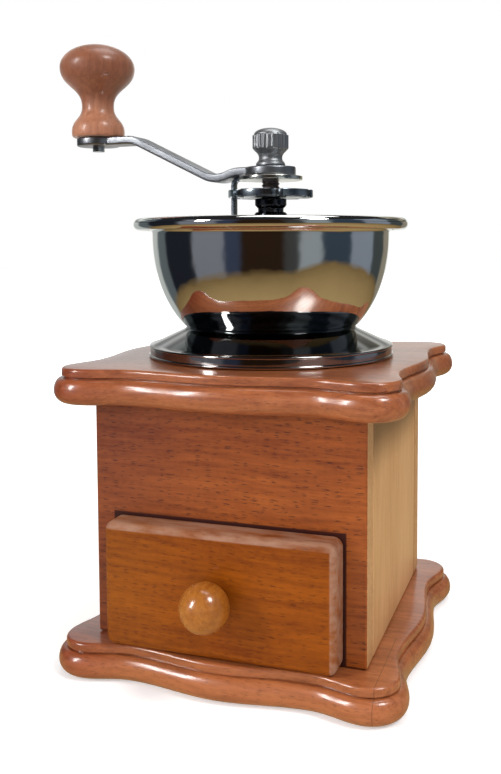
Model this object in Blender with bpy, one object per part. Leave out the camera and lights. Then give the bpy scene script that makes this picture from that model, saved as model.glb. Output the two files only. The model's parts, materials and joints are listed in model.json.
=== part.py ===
"""Manual coffee grinder: a wooden box mill with a drawer, an open bowl and a hand crank.

Lengths are metres and +Z is up. The origin is the centre of the base's underside, and the
drawer looks along -Y. The crank rests near -X, as the grinder stands on a shelf.
"""

from collections import namedtuple
from math import acos, asin, cos, pi, radians, sin, sqrt, tau

import bmesh
import bpy
from mathutils import Matrix, Vector
from mathutils.geometry import interpolate_bezier

Finish = namedtuple("Finish", "colour roughness metallic")

# Finishes of the materials
BEECH = Finish((0.55, 0.26, 0.10), 0.35, 0.0)
FRONT_BEECH = Finish((0.48, 0.19, 0.07), 0.35, 0.0)
PALE_BEECH = Finish((0.66, 0.40, 0.20), 0.4, 0.0)
KNOB_BEECH = Finish((0.62, 0.36, 0.22), 0.3, 0.0)
BARE_WOOD = Finish((0.70, 0.52, 0.33), 0.6, 0.0)
CHROME = Finish((0.85, 0.85, 0.86), 0.06, 1.0)
DARK_CHROME = Finish((0.30, 0.30, 0.31), 0.08, 1.0)
BLACK_GLOSS = Finish((0.02, 0.02, 0.022), 0.15, 0.0)
BLUED_STEEL = Finish((0.20, 0.22, 0.24), 0.3, 1.0)
SATIN_NICKEL = Finish((0.55, 0.56, 0.56), 0.3, 1.0)
PALE_ZINC = Finish((0.80, 0.79, 0.70), 0.25, 1.0)
CAST_IRON = Finish((0.12, 0.12, 0.12), 0.6, 1.0)
SPRING_STEEL = Finish((0.40, 0.40, 0.42), 0.35, 1.0)

# Fits and cuts
FIT_GAP = 0.0003
CUT_OVERRUN = 0.002
WELD = 0.0000005
SHARP_ANGLE = radians(35)

# Facets of the round pieces
BOWL_STEPS = 40
KNOB_STEPS = 28
SHAFT_STEPS = 24
SCREW_STEPS = 12
CURVE_STEPS = 6

# Shares
QUADRATIC_SHARE = 2 / 3
PAN_CROWN_SHARE = 0.7

# Moulded boards, above and below the box
BOARD_OVERHANG = 0.0138
BOARD_THICKNESS = 0.0125
BOARD_CORNER_RADIUS = 0.0108
BOARD_TROUGH_DEPTH = 0.0044
BOARD_TROUGH_SHARE = 0.53
BOARD_STEP_HEIGHT = 0.0036
BOARD_STEP_INSET = 0.0028
BOARD_FOOT_INSET = 0.0034
BOARD_TOP_ROUND = 0.0008
BOARD_SIDE_STEPS = 14
BOARD_CORNER_STEPS = 4
BOARD_BELLY_STEPS = 3

# Box walls
BOX_WIDTH = 0.098
WALL_HEIGHT = 0.0829
WALL_THICKNESS = 0.009
WALL_EASE = 0.0005
OPENING_CHEEK = 0.0015
OPENING_HEIGHT = 0.0395

# Drawer
DRAWER_FRONT_SIDE_LAP = 0.0026
DRAWER_FRONT_TOP_LAP = 0.0042
DRAWER_FRONT_THICKNESS = 0.0097
DRAWER_FRONT_CORNER = 0.003
DRAWER_FRONT_EASE = 0.0011
DRAWER_FRONT_CLEARANCE = 0.0006
DRAWER_SIDE_CLEARANCE = 0.0005
DRAWER_TOP_CLEARANCE = 0.0032
DRAWER_REAR_CLEARANCE = 0.003
DRAWER_WALL = 0.006
DRAWER_EASE = 0.0004
DRAWER_FLOOR_THICKNESS = 0.003
DRAWER_FLOOR_RISE = 0.003
DRAWER_GROOVE_DEPTH = 0.0025

# Drawer knob and its screw
PULL_LENGTH = 0.017
PULL_BALL_RADIUS = 0.00825
PULL_NECK_RADIUS = 0.004
PULL_SCREW_RADIUS = 0.002
PULL_SCREW_HEAD_RADIUS = 0.004
PULL_SCREW_HEAD_HEIGHT = 0.0024
PULL_SCREW_BITE = 0.009

# Wood screws through the base into the side walls
BASE_SCREW_RADIUS = 0.0019
BASE_SCREW_HEAD_RADIUS = 0.004
BASE_SCREW_HEAD_HEIGHT = 0.0022
BASE_SCREW_LENGTH = 0.028
BASE_SCREW_SPACING = 0.05
BASE_SCREW_SINK = 0.0003

# Fixed grinding ring
RING_RADIUS = 0.024
RING_HOLE_CLEARANCE = 0.0005
RING_DROP = 0.0248
RING_FLANGE_RADIUS = 0.036
RING_FLANGE_THICKNESS = 0.0035
RING_THROAT_RADIUS = 0.0185
RING_THROAT_WALL = 0.0025
RING_THROAT_RISE = 0.0079
RING_WAIST_RADIUS = 0.0145
RING_WAIST_DROP = 0.0058
RING_MOUTH_RADIUS = 0.0205
RING_TEETH = 18
RING_TOOTH_STEPS = 3
RING_TOOTH_DEPTH = 0.001
RING_TWIST = radians(12)
PILLAR_OFFSET = 0.026
PILLAR_RADIUS = 0.004

# Wood screws through the ring's flange
RING_SCREWS = 3
RING_SCREW_OFFSET = 0.0305
RING_SCREW_RADIUS = 0.0016
RING_SCREW_HEAD_RADIUS = 0.0033
RING_SCREW_HEAD_HEIGHT = 0.0018
RING_SCREW_LENGTH = 0.013

# Turning grinding cone
CONE_HEIGHT = 0.02
CONE_TOP_RADIUS = 0.0085
CONE_LAND_HEIGHT = 0.009
CONE_RUNNING_GAP = 0.001
CONE_BLADES = 9
CONE_BLADE_STEPS = 5
CONE_BLADE_DEPTH = 0.0013
CONE_TWIST = radians(38)
CONE_RINGS = 6

# Round foot under the bowl
FOOT_SHEET = 0.001
FOOT_SKIRT_RADIUS = 0.0463
FOOT_SKIRT_HEIGHT = 0.0045
FOOT_BEAD = 0.0005
FOOT_SHOULDER_RISE = 0.0097
FOOT_NECK_INSET = 0.001

# Bowl
BOWL_SHEET = 0.0009
BOWL_FLOOR_RADIUS = 0.0335
BOWL_WALL_RADIUS = 0.045
BOWL_WALL_HEIGHT = 0.0345
BOWL_LOW_HANDLE_SHARES = (0.52, 0.19)
BOWL_HIGH_HANDLE_SHARES = (1.0, 0.5)
BOWL_RIM_RADIUS = 0.052
BOWL_RIM_RISE = 0.0377
BOWL_BEAD_RADIUS = 0.0022
BOWL_BEAD_START = radians(-145)
BOWL_BEAD_END = radians(193)
BOWL_BEAD_STEPS = 9

# Bridge over the throat
BRIDGE_PAD_RADIUS = 0.005
BRIDGE_PAD_THICKNESS = 0.0035
BRIDGE_ARM_WIDTH = 0.007
BRIDGE_ARM_DEPTH = 0.004
BRIDGE_ARM_CHAMFER = 0.0008
BRIDGE_ARM_INSET = 0.0054
BRIDGE_ARCH_RISE = 0.022
BRIDGE_ARCH_STEPS = 14
HUB_FOOT_RISE = 0.0163
HUB_HEIGHT = 0.025
HUB_TIP_WALL = 0.0006
HUB_TIP_HEIGHT = 0.0013
HUB_NECK_WALL = 0.0011
HUB_BASE_WALL = 0.0035
HUB_BASE_HEIGHT = 0.0145

# Screws that clamp the bridge, the bowl and the ring
BRIDGE_SCREW_RADIUS = 0.00175
BRIDGE_SCREW_HEAD_RADIUS = 0.003
BRIDGE_SCREW_HEAD_HEIGHT = 0.0022
BRIDGE_SCREW_LENGTH = 0.0148

# Spindle
SPINDLE_RADIUS = 0.0035
SPINDLE_TAIL = 0.0014
SPINDLE_SHOULDER_RISE = 0.00345
SPINDLE_SQUARE = 0.0049
SPINDLE_SQUARE_SINK = 0.0004
SPINDLE_END_RADIUS = 0.0023
SPINDLE_END_LENGTH = 0.0104
SPINDLE_CHAMFER = 0.0004
SPINDLE_COLLAR_HEIGHT = 0.0017
SPINDLE_COLLAR_LIP = 0.0004

# Collar in the bridge's hub
BUSH_PLAY = 0.00025
BUSH_WALL = 0.00115
BUSH_HEAD_WALL = 0.0023
BUSH_HEAD_HEIGHT = 0.00255
BUSH_HEAD_RISE = 0.0025
BUSH_LENGTH = 0.0205

# Star wheel that sets the grind
WHEEL_RADIUS = 0.0162
WHEEL_THICKNESS = 0.0029
WHEEL_CHAMFER = 0.0004
WHEEL_NOTCHES = 6
WHEEL_NOTCH_WIDTH = 0.0044
WHEEL_NOTCH_DEPTH = 0.0033
WHEEL_LOBE_STEPS = 4
WHEEL_NOTCH_STEPS = 6

# Stop plate with the bent tab
STOP_RADIUS = 0.0122
STOP_THICKNESS = 0.0015
STOP_SQUARE_PLAY = 0.0003
TAB_WIDTH = 0.003
TAB_SETBACK = 0.0002
TAB_BEND_RADIUS = 0.003
TAB_REACH_BELOW_WHEEL = 0.0093
TAB_CHAMFER = 0.0002
TAB_ROOT_SHARE = 0.7
TAB_BEND_STEPS = 4

# Crank
CRANK_REST_ANGLE = radians(177)
CRANK_THROW = 0.0762
ARM_THICKNESS = 0.0032
ARM_WIDTH = 0.01
ARM_CHAMFER = 0.0007
ARM_EYE_RADIUS = 0.0096
ARM_END_RADIUS = 0.0087
ARM_TAB_CLEARANCE = 0.0004
ARM_DIP = 0.0021
ARM_DIP_RUN = 0.0052
ARM_LOW_RUN = 0.0052
ARM_RISE = 0.0142
ARM_LEVEL_RUN = 0.0187
ARM_BEND = 0.0024
ARM_BEND_STEPS = 4
ARM_ROUND_STEPS = 10
ARM_TIP_ANGLE = radians(8)

# Knurled nut on the crank
NUT_HEIGHT = 0.0145
NUT_FOOT_RADIUS = 0.0056
NUT_NECK_RADIUS = 0.00445
NUT_NECK_RISE = 0.0032
NUT_HEAD_RADIUS = 0.0069
NUT_HEAD_RISE = 0.0065
NUT_HEAD_HEIGHT = 0.0054
NUT_CHAMFER = 0.0007
NUT_FLUTES = 24
NUT_FLUTE_DEPTH = 0.00035
NUT_DOME_STEPS = 4
NUT_FLARE_STEPS = 3

# Crank knob and its bolt
GRIP_HEIGHT = 0.0375
GRIP_FOOT_RADIUS = 0.01065
GRIP_FOOT_RISE = 0.0022
GRIP_FOOT_ROUND = 0.0011
GRIP_NECK_RADIUS = 0.0064
GRIP_NECK_RISE = 0.0127
GRIP_HEAD_RADIUS = 0.0151
GRIP_HEAD_RISE = 0.0282
GRIP_WELL_DEPTH = 0.0042
GRIP_WAIST_STEPS = 5
GRIP_DOME_STEPS = 5
BOLT_RADIUS = 0.0024
BOLT_HEAD_RADIUS = 0.0042
BOLT_HEAD_HEIGHT = 0.0028
BOLT_STICK_OUT = 0.0022

# Pressure spring round the spindle
SPRING_WIRE = 0.0016
SPRING_PLAY = 0.0022
SPRING_CURLS = 6
SPRING_CURL_STEPS = 9
SPRING_WASHER_THICKNESS = 0.001

# Nut and washer under the cone
CONE_WASHER_RADIUS = 0.007
CONE_WASHER_THICKNESS = 0.0012
CONE_NUT_FLATS = 0.011
CONE_NUT_HEIGHT = 0.005

# Widths and heights that follow the box
BOX_HALF = BOX_WIDTH / 2
BOARD_WIDTH = BOX_WIDTH + BOARD_OVERHANG * 2
OPENING_WIDTH = (BOX_HALF - WALL_THICKNESS - OPENING_CHEEK) * 2
DRAWER_FRONT_WIDTH = OPENING_WIDTH + DRAWER_FRONT_SIDE_LAP * 2
DRAWER_FRONT_HEIGHT = OPENING_HEIGHT - DRAWER_FRONT_CLEARANCE + DRAWER_FRONT_TOP_LAP
DRAWER_HEIGHT = OPENING_HEIGHT - FIT_GAP - DRAWER_TOP_CLEARANCE

# Heights, from the base up
WALL_FOOT = BOARD_THICKNESS + FIT_GAP
TOP_BOARD_FOOT = WALL_FOOT + WALL_HEIGHT + FIT_GAP
DECK = TOP_BOARD_FOOT + BOARD_THICKNESS
RING_FLANGE_FOOT = DECK + FIT_GAP
RING_FOOT = RING_FLANGE_FOOT - RING_DROP
RING_FLANGE_TOP = RING_FLANGE_FOOT + RING_FLANGE_THICKNESS
RING_TOP = RING_FLANGE_TOP + RING_THROAT_RISE
RING_WAIST_HEIGHT = RING_FLANGE_FOOT - RING_WAIST_DROP
BOWL_FOOT = RING_TOP + FIT_GAP
BRIDGE_FOOT = BOWL_FOOT + BOWL_SHEET + FIT_GAP
HUB_FOOT = BRIDGE_FOOT + HUB_FOOT_RISE
HUB_TOP = HUB_FOOT + HUB_HEIGHT
BUSH_TOP = HUB_TOP + BUSH_HEAD_RISE + BUSH_HEAD_HEIGHT
WHEEL_FOOT = BUSH_TOP + FIT_GAP
WHEEL_TOP = WHEEL_FOOT + WHEEL_THICKNESS
SHOULDER = WHEEL_TOP + SPINDLE_SHOULDER_RISE
STOP_FOOT = SHOULDER + FIT_GAP
ARM_FOOT = STOP_FOOT + STOP_THICKNESS + FIT_GAP
NUT_FOOT = ARM_FOOT + ARM_THICKNESS + FIT_GAP
GRIP_FOOT = ARM_FOOT + ARM_RISE + ARM_THICKNESS + FIT_GAP
CONE_TOP = RING_FOOT + CONE_HEIGHT
COLLAR_FOOT = CONE_TOP + FIT_GAP
COLLAR_TOP = COLLAR_FOOT + SPINDLE_COLLAR_HEIGHT
CONE_WASHER_FOOT = RING_FOOT - FIT_GAP - CONE_WASHER_THICKNESS
CONE_NUT_FOOT = CONE_WASHER_FOOT - FIT_GAP - CONE_NUT_HEIGHT
SPRING_WASHER_FOOT = HUB_FOOT - FIT_GAP - SPRING_WASHER_THICKNESS
DRAWER_FOOT = BOARD_THICKNESS + FIT_GAP
DRAWER_FRONT_FOOT = BOARD_THICKNESS + DRAWER_FRONT_CLEARANCE
PULL_LEVEL = DRAWER_FRONT_FOOT + DRAWER_FRONT_HEIGHT / 2

# Places across the box
DRAWER_FRONT_BACK = -BOX_HALF - FIT_GAP
DRAWER_FACE = DRAWER_FRONT_BACK - DRAWER_FRONT_THICKNESS
DRAWER_HALF = OPENING_WIDTH / 2 - DRAWER_SIDE_CLEARANCE
DRAWER_REAR = BOX_HALF - WALL_THICKNESS - DRAWER_REAR_CLEARANCE
DRAWER_FLOOR_FOOT = DRAWER_FOOT + DRAWER_FLOOR_RISE

# Radii of the foot that follow the bowl's floor
FOOT_SHOULDER_RADIUS = BOWL_FLOOR_RADIUS
FOOT_NECK_RADIUS = BOWL_FLOOR_RADIUS - FOOT_NECK_INSET

# Radii that follow the spindle
SHAFT_HOLE_RADIUS = SPINDLE_RADIUS + FIT_GAP
BUSH_BORE = SPINDLE_RADIUS + BUSH_PLAY
BUSH_RADIUS = BUSH_BORE + BUSH_WALL
BUSH_HEAD_RADIUS = BUSH_BORE + BUSH_HEAD_WALL
HUB_BORE = BUSH_RADIUS + FIT_GAP
SPRING_RADIUS = SPINDLE_RADIUS + SPRING_PLAY + SPRING_WIRE / 2
COLLAR_RADIUS = SPRING_RADIUS + SPRING_WIRE / 2 + SPINDLE_COLLAR_LIP
TAB_FACE = WHEEL_RADIUS - TAB_SETBACK


def clear_scene():
    """Removes whatever the scene holds."""
    for obj in list(bpy.data.objects):
        bpy.data.objects.remove(obj, do_unlink=True)


def material_of(name, finish):
    """A Principled material with the piece's own colour."""
    material = bpy.data.materials.new(name + "_material")
    material.use_nodes = True
    shader = material.node_tree.nodes["Principled BSDF"]
    shader.inputs["Base Color"].default_value = (*finish.colour, 1.0)
    shader.inputs["Roughness"].default_value = finish.roughness
    shader.inputs["Metallic"].default_value = finish.metallic
    material.diffuse_color = (*finish.colour, 1.0)
    return material


def placed(name, data, at=(0, 0, 0), turn=(0, 0, 0), parent=None):
    """Links a new object with this data at its place."""
    obj = bpy.data.objects.new(name, data)
    bpy.context.scene.collection.objects.link(obj)
    obj.location = at
    obj.rotation_euler = turn
    obj.parent = parent
    return obj


def axis_empty(name, at=(0, 0, 0), turn=(0, 0, 0), parent=None):
    """An empty that stands on a joint's axis and carries what turns there."""
    return placed(name, None, at, turn, parent)


def piece(name, bm, finish=None, **place):
    """Turns a worked mesh into a named object; one with no finish is a helper."""
    bmesh.ops.recalc_face_normals(bm, faces=bm.faces)
    mesh = bpy.data.meshes.new(name)
    bm.to_mesh(mesh)
    bm.free()
    mesh.shade_smooth()
    mesh.set_sharp_from_angle(angle=SHARP_ANGLE)
    obj = placed(name, mesh, **place)
    if finish:
        mesh.materials.append(material_of(name, finish))
    else:
        obj.hide_render = True
        obj.display_type = "WIRE"
    return obj


def boolean(target, helper, operation):
    """Adds or cuts the helper's shape."""
    modifier = target.modifiers.new(helper.name, "BOOLEAN")
    modifier.operation = operation
    modifier.object = helper
    modifier.solver = "EXACT"


def eased(target, width):
    """Softens a sawn piece's edges."""
    modifier = target.modifiers.new("eased edges", "BEVEL")
    modifier.width = width
    modifier.segments = 1
    modifier.limit_method = "ANGLE"


def spun(profile, steps, closed=False, reshape=None):
    """The mesh of a (radius, height) profile spun about Z.

    A closed profile makes a ring. An open one starts and ends on the axis. The reshape
    function moves each point, for teeth and flutes.
    """
    bm = bmesh.new()
    points = [bm.verts.new((radius, 0, height)) for radius, height in profile]
    ends = list(zip(points, points[1:]))
    if closed:
        ends.append((points[-1], points[0]))
    edges = [bm.edges.new(pair) for pair in ends]
    bmesh.ops.spin(
        bm, geom=points + edges, cent=(0, 0, 0), axis=(0, 0, 1), angle=tau, steps=steps,
        use_merge=True,
    )
    bmesh.ops.remove_doubles(bm, verts=bm.verts, dist=WELD)
    if reshape:
        for vertex in bm.verts:
            vertex.co = reshape(vertex.co)
    return bm


def lofted(rings, looped=False):
    """The mesh skinned over rings of equal count, with its ends capped or joined."""
    bm = bmesh.new()
    loops = [[bm.verts.new(point) for point in ring] for ring in rings]
    followers = loops[1:] + loops[:1] if looped else loops[1:]
    for low, high in zip(loops, followers):
        for i in range(len(low)):
            bm.faces.new((low[i - 1], low[i], high[i], high[i - 1]))
    if not looped:
        bm.faces.new(loops[0])
        bm.faces.new(loops[-1])
    return bm


def block(low, high):
    """The mesh of a box between two corners."""
    bm = bmesh.new()
    bmesh.ops.create_cube(bm, size=1)
    middle = (Vector(low) + Vector(high)) / 2
    spread = Vector(high) - Vector(low)
    for vertex in bm.verts:
        vertex.co = middle + Vector(a * b for a, b in zip(vertex.co, spread))
    return bm


def rod(radius, low, high, steps=SCREW_STEPS):
    """The mesh of an upright cylinder on the Z axis."""
    return lofted([at_height(circle(radius, steps), z) for z in (low, high)])


def circle(radius, steps):
    """An outline with its first point on +X."""
    angles = (tau * i / steps for i in range(steps))
    return [Vector((radius * cos(angle), radius * sin(angle))) for angle in angles]


def square(side, steps):
    """A square outline with as many points as a circle, at the same angles."""
    outline = []
    for way in circle(1, steps):
        outline.append(way * side / 2 / max(abs(way.x), abs(way.y)))
    return outline


def at_height(outline, z):
    """A flat outline lifted to a height."""
    return [Vector((point.x, point.y, z)) for point in outline]


def arc(centre, radius, start, end, steps):
    """Points along a round stretch, both ends included."""
    angles = (start + (end - start) * i / steps for i in range(steps + 1))
    return [Vector(centre) + radius * Vector((cos(angle), sin(angle))) for angle in angles]


def rounded_corner(start, corner, end, steps):
    """Points along the even curve that leaves for a corner and turns to the end."""
    near = start.lerp(corner, QUADRATIC_SHARE)
    far = end.lerp(corner, QUADRATIC_SHARE)
    return bezier(start, near, far, end, steps)


def bezier(start, start_handle, end_handle, end, steps=CURVE_STEPS):
    """Points along one free curve, both ends included."""
    corners = [Vector((*corner, 0)) for corner in (start, start_handle, end_handle, end)]
    return [point.to_2d() for point in interpolate_bezier(*corners, steps + 1)]


def set_off(path, distance, closed=False):
    """The path moved to its left, with its corners kept."""
    moved = []
    count = len(path)
    for i, here in enumerate(path):
        before = path[i - 1] if closed or i else None
        after = path[(i + 1) % count] if closed or i < count - 1 else None
        leaving = (after - here).normalized() if after else (here - before).normalized()
        coming = (here - before).normalized() if before else leaving
        along = (coming + leaving).normalized()
        moved.append(here + Vector((-along.y, along.x)) * distance / along.dot(leaving))
    return moved


def sheet(path, wall):
    """The closed section of a sheet that follows the path, with its wall to the left."""
    return path + list(reversed(set_off(path, wall)))


def moulded(outline, edge):
    """The mesh of a flat piece whose outline steps in and out as it rises.

    The edge lists (inset, height) from the underside up.
    """
    return lofted([at_height(set_off(outline, inset, closed=True), z) for inset, z in edge])


def countersunk(radius, head_radius, head_height, length, allowance=0, above=0):
    """The profile of a wood screw with its flat head up at height 0, or of its hole."""
    wide = head_radius + allowance
    thin = radius + allowance
    return [
        (0, above),
        (wide, above),
        (wide, -allowance),
        (thin, -head_height - allowance),
        (thin, -length + radius - allowance),
        (0, -length - allowance),
    ]


def pan_head(radius, head_radius, head_height, length):
    """The profile of a machine screw whose head stands on height 0."""
    return [
        (0, head_height),
        (head_radius * PAN_CROWN_SHARE, head_height),
        (head_radius, head_height / 2),
        (head_radius, 0),
        (radius, 0),
        (radius, -length),
        (0, -length),
    ]


def drill(name, radius, low, high, at):
    """A helper that cuts a round hole."""
    return piece(name, rod(radius, low, high), at=(*at, 0))


def scalloped_outline():
    """The boards' outline: each side bulges at its middle and swells again at the corners."""
    half = BOARD_WIDTH / 2
    reach = half - BOARD_CORNER_RADIUS
    trough = half * BOARD_TROUGH_SHARE
    side = []
    for i in range(BOARD_SIDE_STEPS + 1):
        along = reach * (2 * i / BOARD_SIDE_STEPS - 1)
        if abs(along) < trough:
            wave = 1 - cos(pi * abs(along) / trough)
        else:
            wave = 1 + cos(pi * (abs(along) - trough) / (reach - trough))
        side.append(Vector((along, -half + BOARD_TROUGH_DEPTH * wave / 2)))
    corner = arc((reach, -reach), BOARD_CORNER_RADIUS, -pi / 2, 0, BOARD_CORNER_STEPS)
    quarter = side + corner[1:-1]
    outline = []
    for turn in range(4):
        to_side = Matrix.Rotation(turn * pi / 2, 2)
        outline += [to_side @ point for point in quarter]
    return outline


def moulded_board(name, foot):
    """A moulded board: a half-round edge under a thin step."""
    belly = (BOARD_THICKNESS - BOARD_STEP_HEIGHT) / 2
    turns = [i * pi / 2 / BOARD_BELLY_STEPS for i in range(BOARD_BELLY_STEPS + 1)]
    low = [(BOARD_FOOT_INSET * (1 - sin(t)), belly * (1 - cos(t))) for t in turns]
    high = [(BOARD_STEP_INSET * (1 - cos(t)), belly * (1 + sin(t))) for t in turns[1:]]
    step = [
        (BOARD_STEP_INSET, BOARD_THICKNESS - BOARD_TOP_ROUND),
        (BOARD_STEP_INSET + BOARD_TOP_ROUND, BOARD_THICKNESS),
    ]
    edge = low + high + step
    return piece(name, moulded(scalloped_outline(), edge), BEECH, at=(0, 0, foot))


def base_screw_places():
    """Where the base's screws go up into the side walls."""
    across = BOX_HALF - WALL_THICKNESS / 2
    along = BASE_SCREW_SPACING / 2
    return [(x, y) for x in (-across, across) for y in (-along, along)]


def build_base_screws(base, walls):
    """The wood screws, with their holes in the base and in the side walls."""
    sizes = (BASE_SCREW_RADIUS, BASE_SCREW_HEAD_RADIUS, BASE_SCREW_HEAD_HEIGHT, BASE_SCREW_LENGTH)
    upside_down = (pi, 0, 0)
    for i, (x, y) in enumerate(base_screw_places(), start=1):
        at = (x, y, BASE_SCREW_SINK)
        screw = spun(countersunk(*sizes), SCREW_STEPS)
        piece(f"base_screw_{i}", screw, SATIN_NICKEL, at=at, turn=upside_down)
        bore = spun(countersunk(*sizes, FIT_GAP, CUT_OVERRUN), SCREW_STEPS)
        hole = piece(f"base_screw_hole_{i}", bore, at=at, turn=upside_down)
        boolean(base, hole, "DIFFERENCE")
        boolean(walls[x > 0], hole, "DIFFERENCE")


def build_walls():
    """The four boards of the box; the front one is cut up from below for the drawer."""
    low, high = WALL_FOOT, WALL_FOOT + WALL_HEIGHT
    inner = BOX_HALF - WALL_THICKNESS
    board = block((-BOX_HALF, -BOX_HALF, low), (BOX_HALF, -inner, high))
    front = piece("front_panel", board, FRONT_BEECH)
    eased(front, WALL_EASE)
    half = OPENING_WIDTH / 2
    lintel = BOARD_THICKNESS + OPENING_HEIGHT
    opening = block(
        (-half, -BOX_HALF - CUT_OVERRUN, low - CUT_OVERRUN),
        (half, -inner + CUT_OVERRUN, lintel),
    )
    boolean(front, piece("drawer_opening", opening), "DIFFERENCE")
    back = piece("back_panel", block((-BOX_HALF, inner, low), (BOX_HALF, BOX_HALF, high)), BEECH)
    eased(back, WALL_EASE)
    end = inner - FIT_GAP
    left = piece("left_panel", block((-BOX_HALF, -end, low), (-inner, end, high)), BEECH)
    right = piece("right_panel", block((inner, -end, low), (BOX_HALF, end, high)), PALE_BEECH)
    eased(left, WALL_EASE)
    eased(right, WALL_EASE)
    return left, right


def build_box():
    """The wooden case: base, walls, top board and the screws under the base."""
    base = moulded_board("base_plate", 0)
    walls = build_walls()
    build_base_screws(base, walls)
    top = moulded_board("top_plate", TOP_BOARD_FOOT)
    low, high = TOP_BOARD_FOOT - CUT_OVERRUN, DECK + CUT_OVERRUN
    mill_hole = rod(RING_RADIUS + RING_HOLE_CLEARANCE, low, high, BOWL_STEPS)
    boolean(top, piece("mill_hole", mill_hole), "DIFFERENCE")
    return top


def toothed_ring(point):
    """Cuts the teeth into the grinding ring's lower bore and leans them over."""
    radius = point.to_2d().length
    lean = (point.z - RING_FOOT) / (RING_WAIST_HEIGHT - RING_FOOT)
    if lean > 1 or radius > RING_MOUTH_RADIUS + WELD:
        return point
    angle = point.to_2d().angle_signed(Vector((1, 0)))
    wave = (1 + cos(RING_TEETH * angle)) / 2
    deeper = radius + RING_TOOTH_DEPTH * wave
    turned = angle + RING_TWIST * lean
    return Vector((deeper * cos(turned), deeper * sin(turned), point.z))


def ring_screw_places():
    """Where the ring's flange is screwed to the top board."""
    angles = [pi / 2 + tau * i / RING_SCREWS for i in range(RING_SCREWS)]
    return [(RING_SCREW_OFFSET * cos(angle), RING_SCREW_OFFSET * sin(angle)) for angle in angles]


def build_ring_screws(ring, top):
    """The flange's wood screws, with their holes in the ring and in the top board."""
    sizes = (RING_SCREW_RADIUS, RING_SCREW_HEAD_RADIUS, RING_SCREW_HEAD_HEIGHT, RING_SCREW_LENGTH)
    for i, (x, y) in enumerate(ring_screw_places(), start=1):
        at = (x, y, RING_FLANGE_TOP - FIT_GAP)
        piece(f"burr_screw_{i}", spun(countersunk(*sizes), SCREW_STEPS), SATIN_NICKEL, at=at)
        bore = spun(countersunk(*sizes, FIT_GAP, CUT_OVERRUN), SCREW_STEPS)
        hole = piece(f"burr_screw_hole_{i}", bore, at=at)
        boolean(ring, hole, "DIFFERENCE")
        boolean(top, hole, "DIFFERENCE")


def build_outer_burr(top):
    """The fixed grinding ring: toothed bore, flange, throat and two screw pillars."""
    throat_outside = RING_THROAT_RADIUS + RING_THROAT_WALL
    profile = [
        (RING_MOUTH_RADIUS, RING_FOOT),
        (RING_RADIUS, RING_FOOT),
        (RING_RADIUS, RING_FLANGE_FOOT),
        (RING_FLANGE_RADIUS, RING_FLANGE_FOOT),
        (RING_FLANGE_RADIUS, RING_FLANGE_TOP),
        (throat_outside, RING_FLANGE_TOP),
        (throat_outside, RING_TOP),
        (RING_THROAT_RADIUS, RING_TOP),
        (RING_THROAT_RADIUS, RING_FLANGE_FOOT),
        (RING_WAIST_RADIUS, RING_WAIST_HEIGHT),
        ((RING_WAIST_RADIUS + RING_MOUTH_RADIUS) / 2, (RING_WAIST_HEIGHT + RING_FOOT) / 2),
    ]
    mesh = spun(profile, RING_TEETH * RING_TOOTH_STEPS, closed=True, reshape=toothed_ring)
    ring = piece("outer_burr", mesh, CAST_IRON)
    bite = RING_FLANGE_THICKNESS / 2
    screw_end = BRIDGE_FOOT + BRIDGE_PAD_THICKNESS - BRIDGE_SCREW_LENGTH - FIT_GAP
    for side, x in (("left", -PILLAR_OFFSET), ("right", PILLAR_OFFSET)):
        post = rod(PILLAR_RADIUS, RING_FLANGE_TOP - bite, RING_TOP, SCREW_STEPS)
        boolean(ring, piece(f"{side}_pillar", post, at=(x, 0, 0)), "UNION")
        hole_radius = BRIDGE_SCREW_RADIUS + FIT_GAP
        hole = drill(f"{side}_pillar_hole", hole_radius, screw_end, RING_TOP + CUT_OVERRUN, (x, 0))
        boolean(ring, hole, "DIFFERENCE")
    build_ring_screws(ring, top)


def build_foot():
    """The spun foot that hides the ring's flange: beaded skirt, cone and neck."""
    skirt_top = RING_FLANGE_FOOT + FOOT_SKIRT_HEIGHT
    shoulder = RING_FLANGE_FOOT + FOOT_SHOULDER_RISE
    path = [
        Vector((FOOT_SKIRT_RADIUS + FOOT_BEAD, RING_FLANGE_FOOT)),
        Vector((FOOT_SKIRT_RADIUS + FOOT_BEAD, RING_FLANGE_FOOT + FOOT_BEAD)),
        Vector((FOOT_SKIRT_RADIUS, RING_FLANGE_FOOT + FOOT_BEAD * 2)),
        Vector((FOOT_SKIRT_RADIUS, skirt_top - FOOT_BEAD * 2)),
        Vector((FOOT_SKIRT_RADIUS + FOOT_BEAD / 2, skirt_top - FOOT_BEAD)),
        Vector((FOOT_SKIRT_RADIUS - FOOT_SHEET, skirt_top)),
    ]
    start = Vector((FOOT_SHOULDER_RADIUS, shoulder))
    neck = Vector((FOOT_NECK_RADIUS, RING_TOP))
    bend = Vector((FOOT_NECK_RADIUS, (shoulder + RING_TOP) / 2))
    path += rounded_corner(start, bend, neck, CURVE_STEPS // 2)
    piece("hopper_flange", spun(sheet(path, FOOT_SHEET), BOWL_STEPS, closed=True), DARK_CHROME)


def bowl_wall():
    """The bowl's outer side, from the throat's edge over the floor and up to the bead."""
    floor = Vector((BOWL_FLOOR_RADIUS, BOWL_FOOT))
    top = Vector((BOWL_WALL_RADIUS, BOWL_FOOT + BOWL_WALL_HEIGHT))
    spread = top - floor
    handles = [
        floor + Vector((spread.x * across, spread.y * up))
        for across, up in (BOWL_LOW_HANDLE_SHARES, BOWL_HIGH_HANDLE_SHARES)
    ]
    throat = Vector((RING_THROAT_RADIUS, BOWL_FOOT))
    return [throat] + bezier(floor, *handles, top, steps=8)


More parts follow.
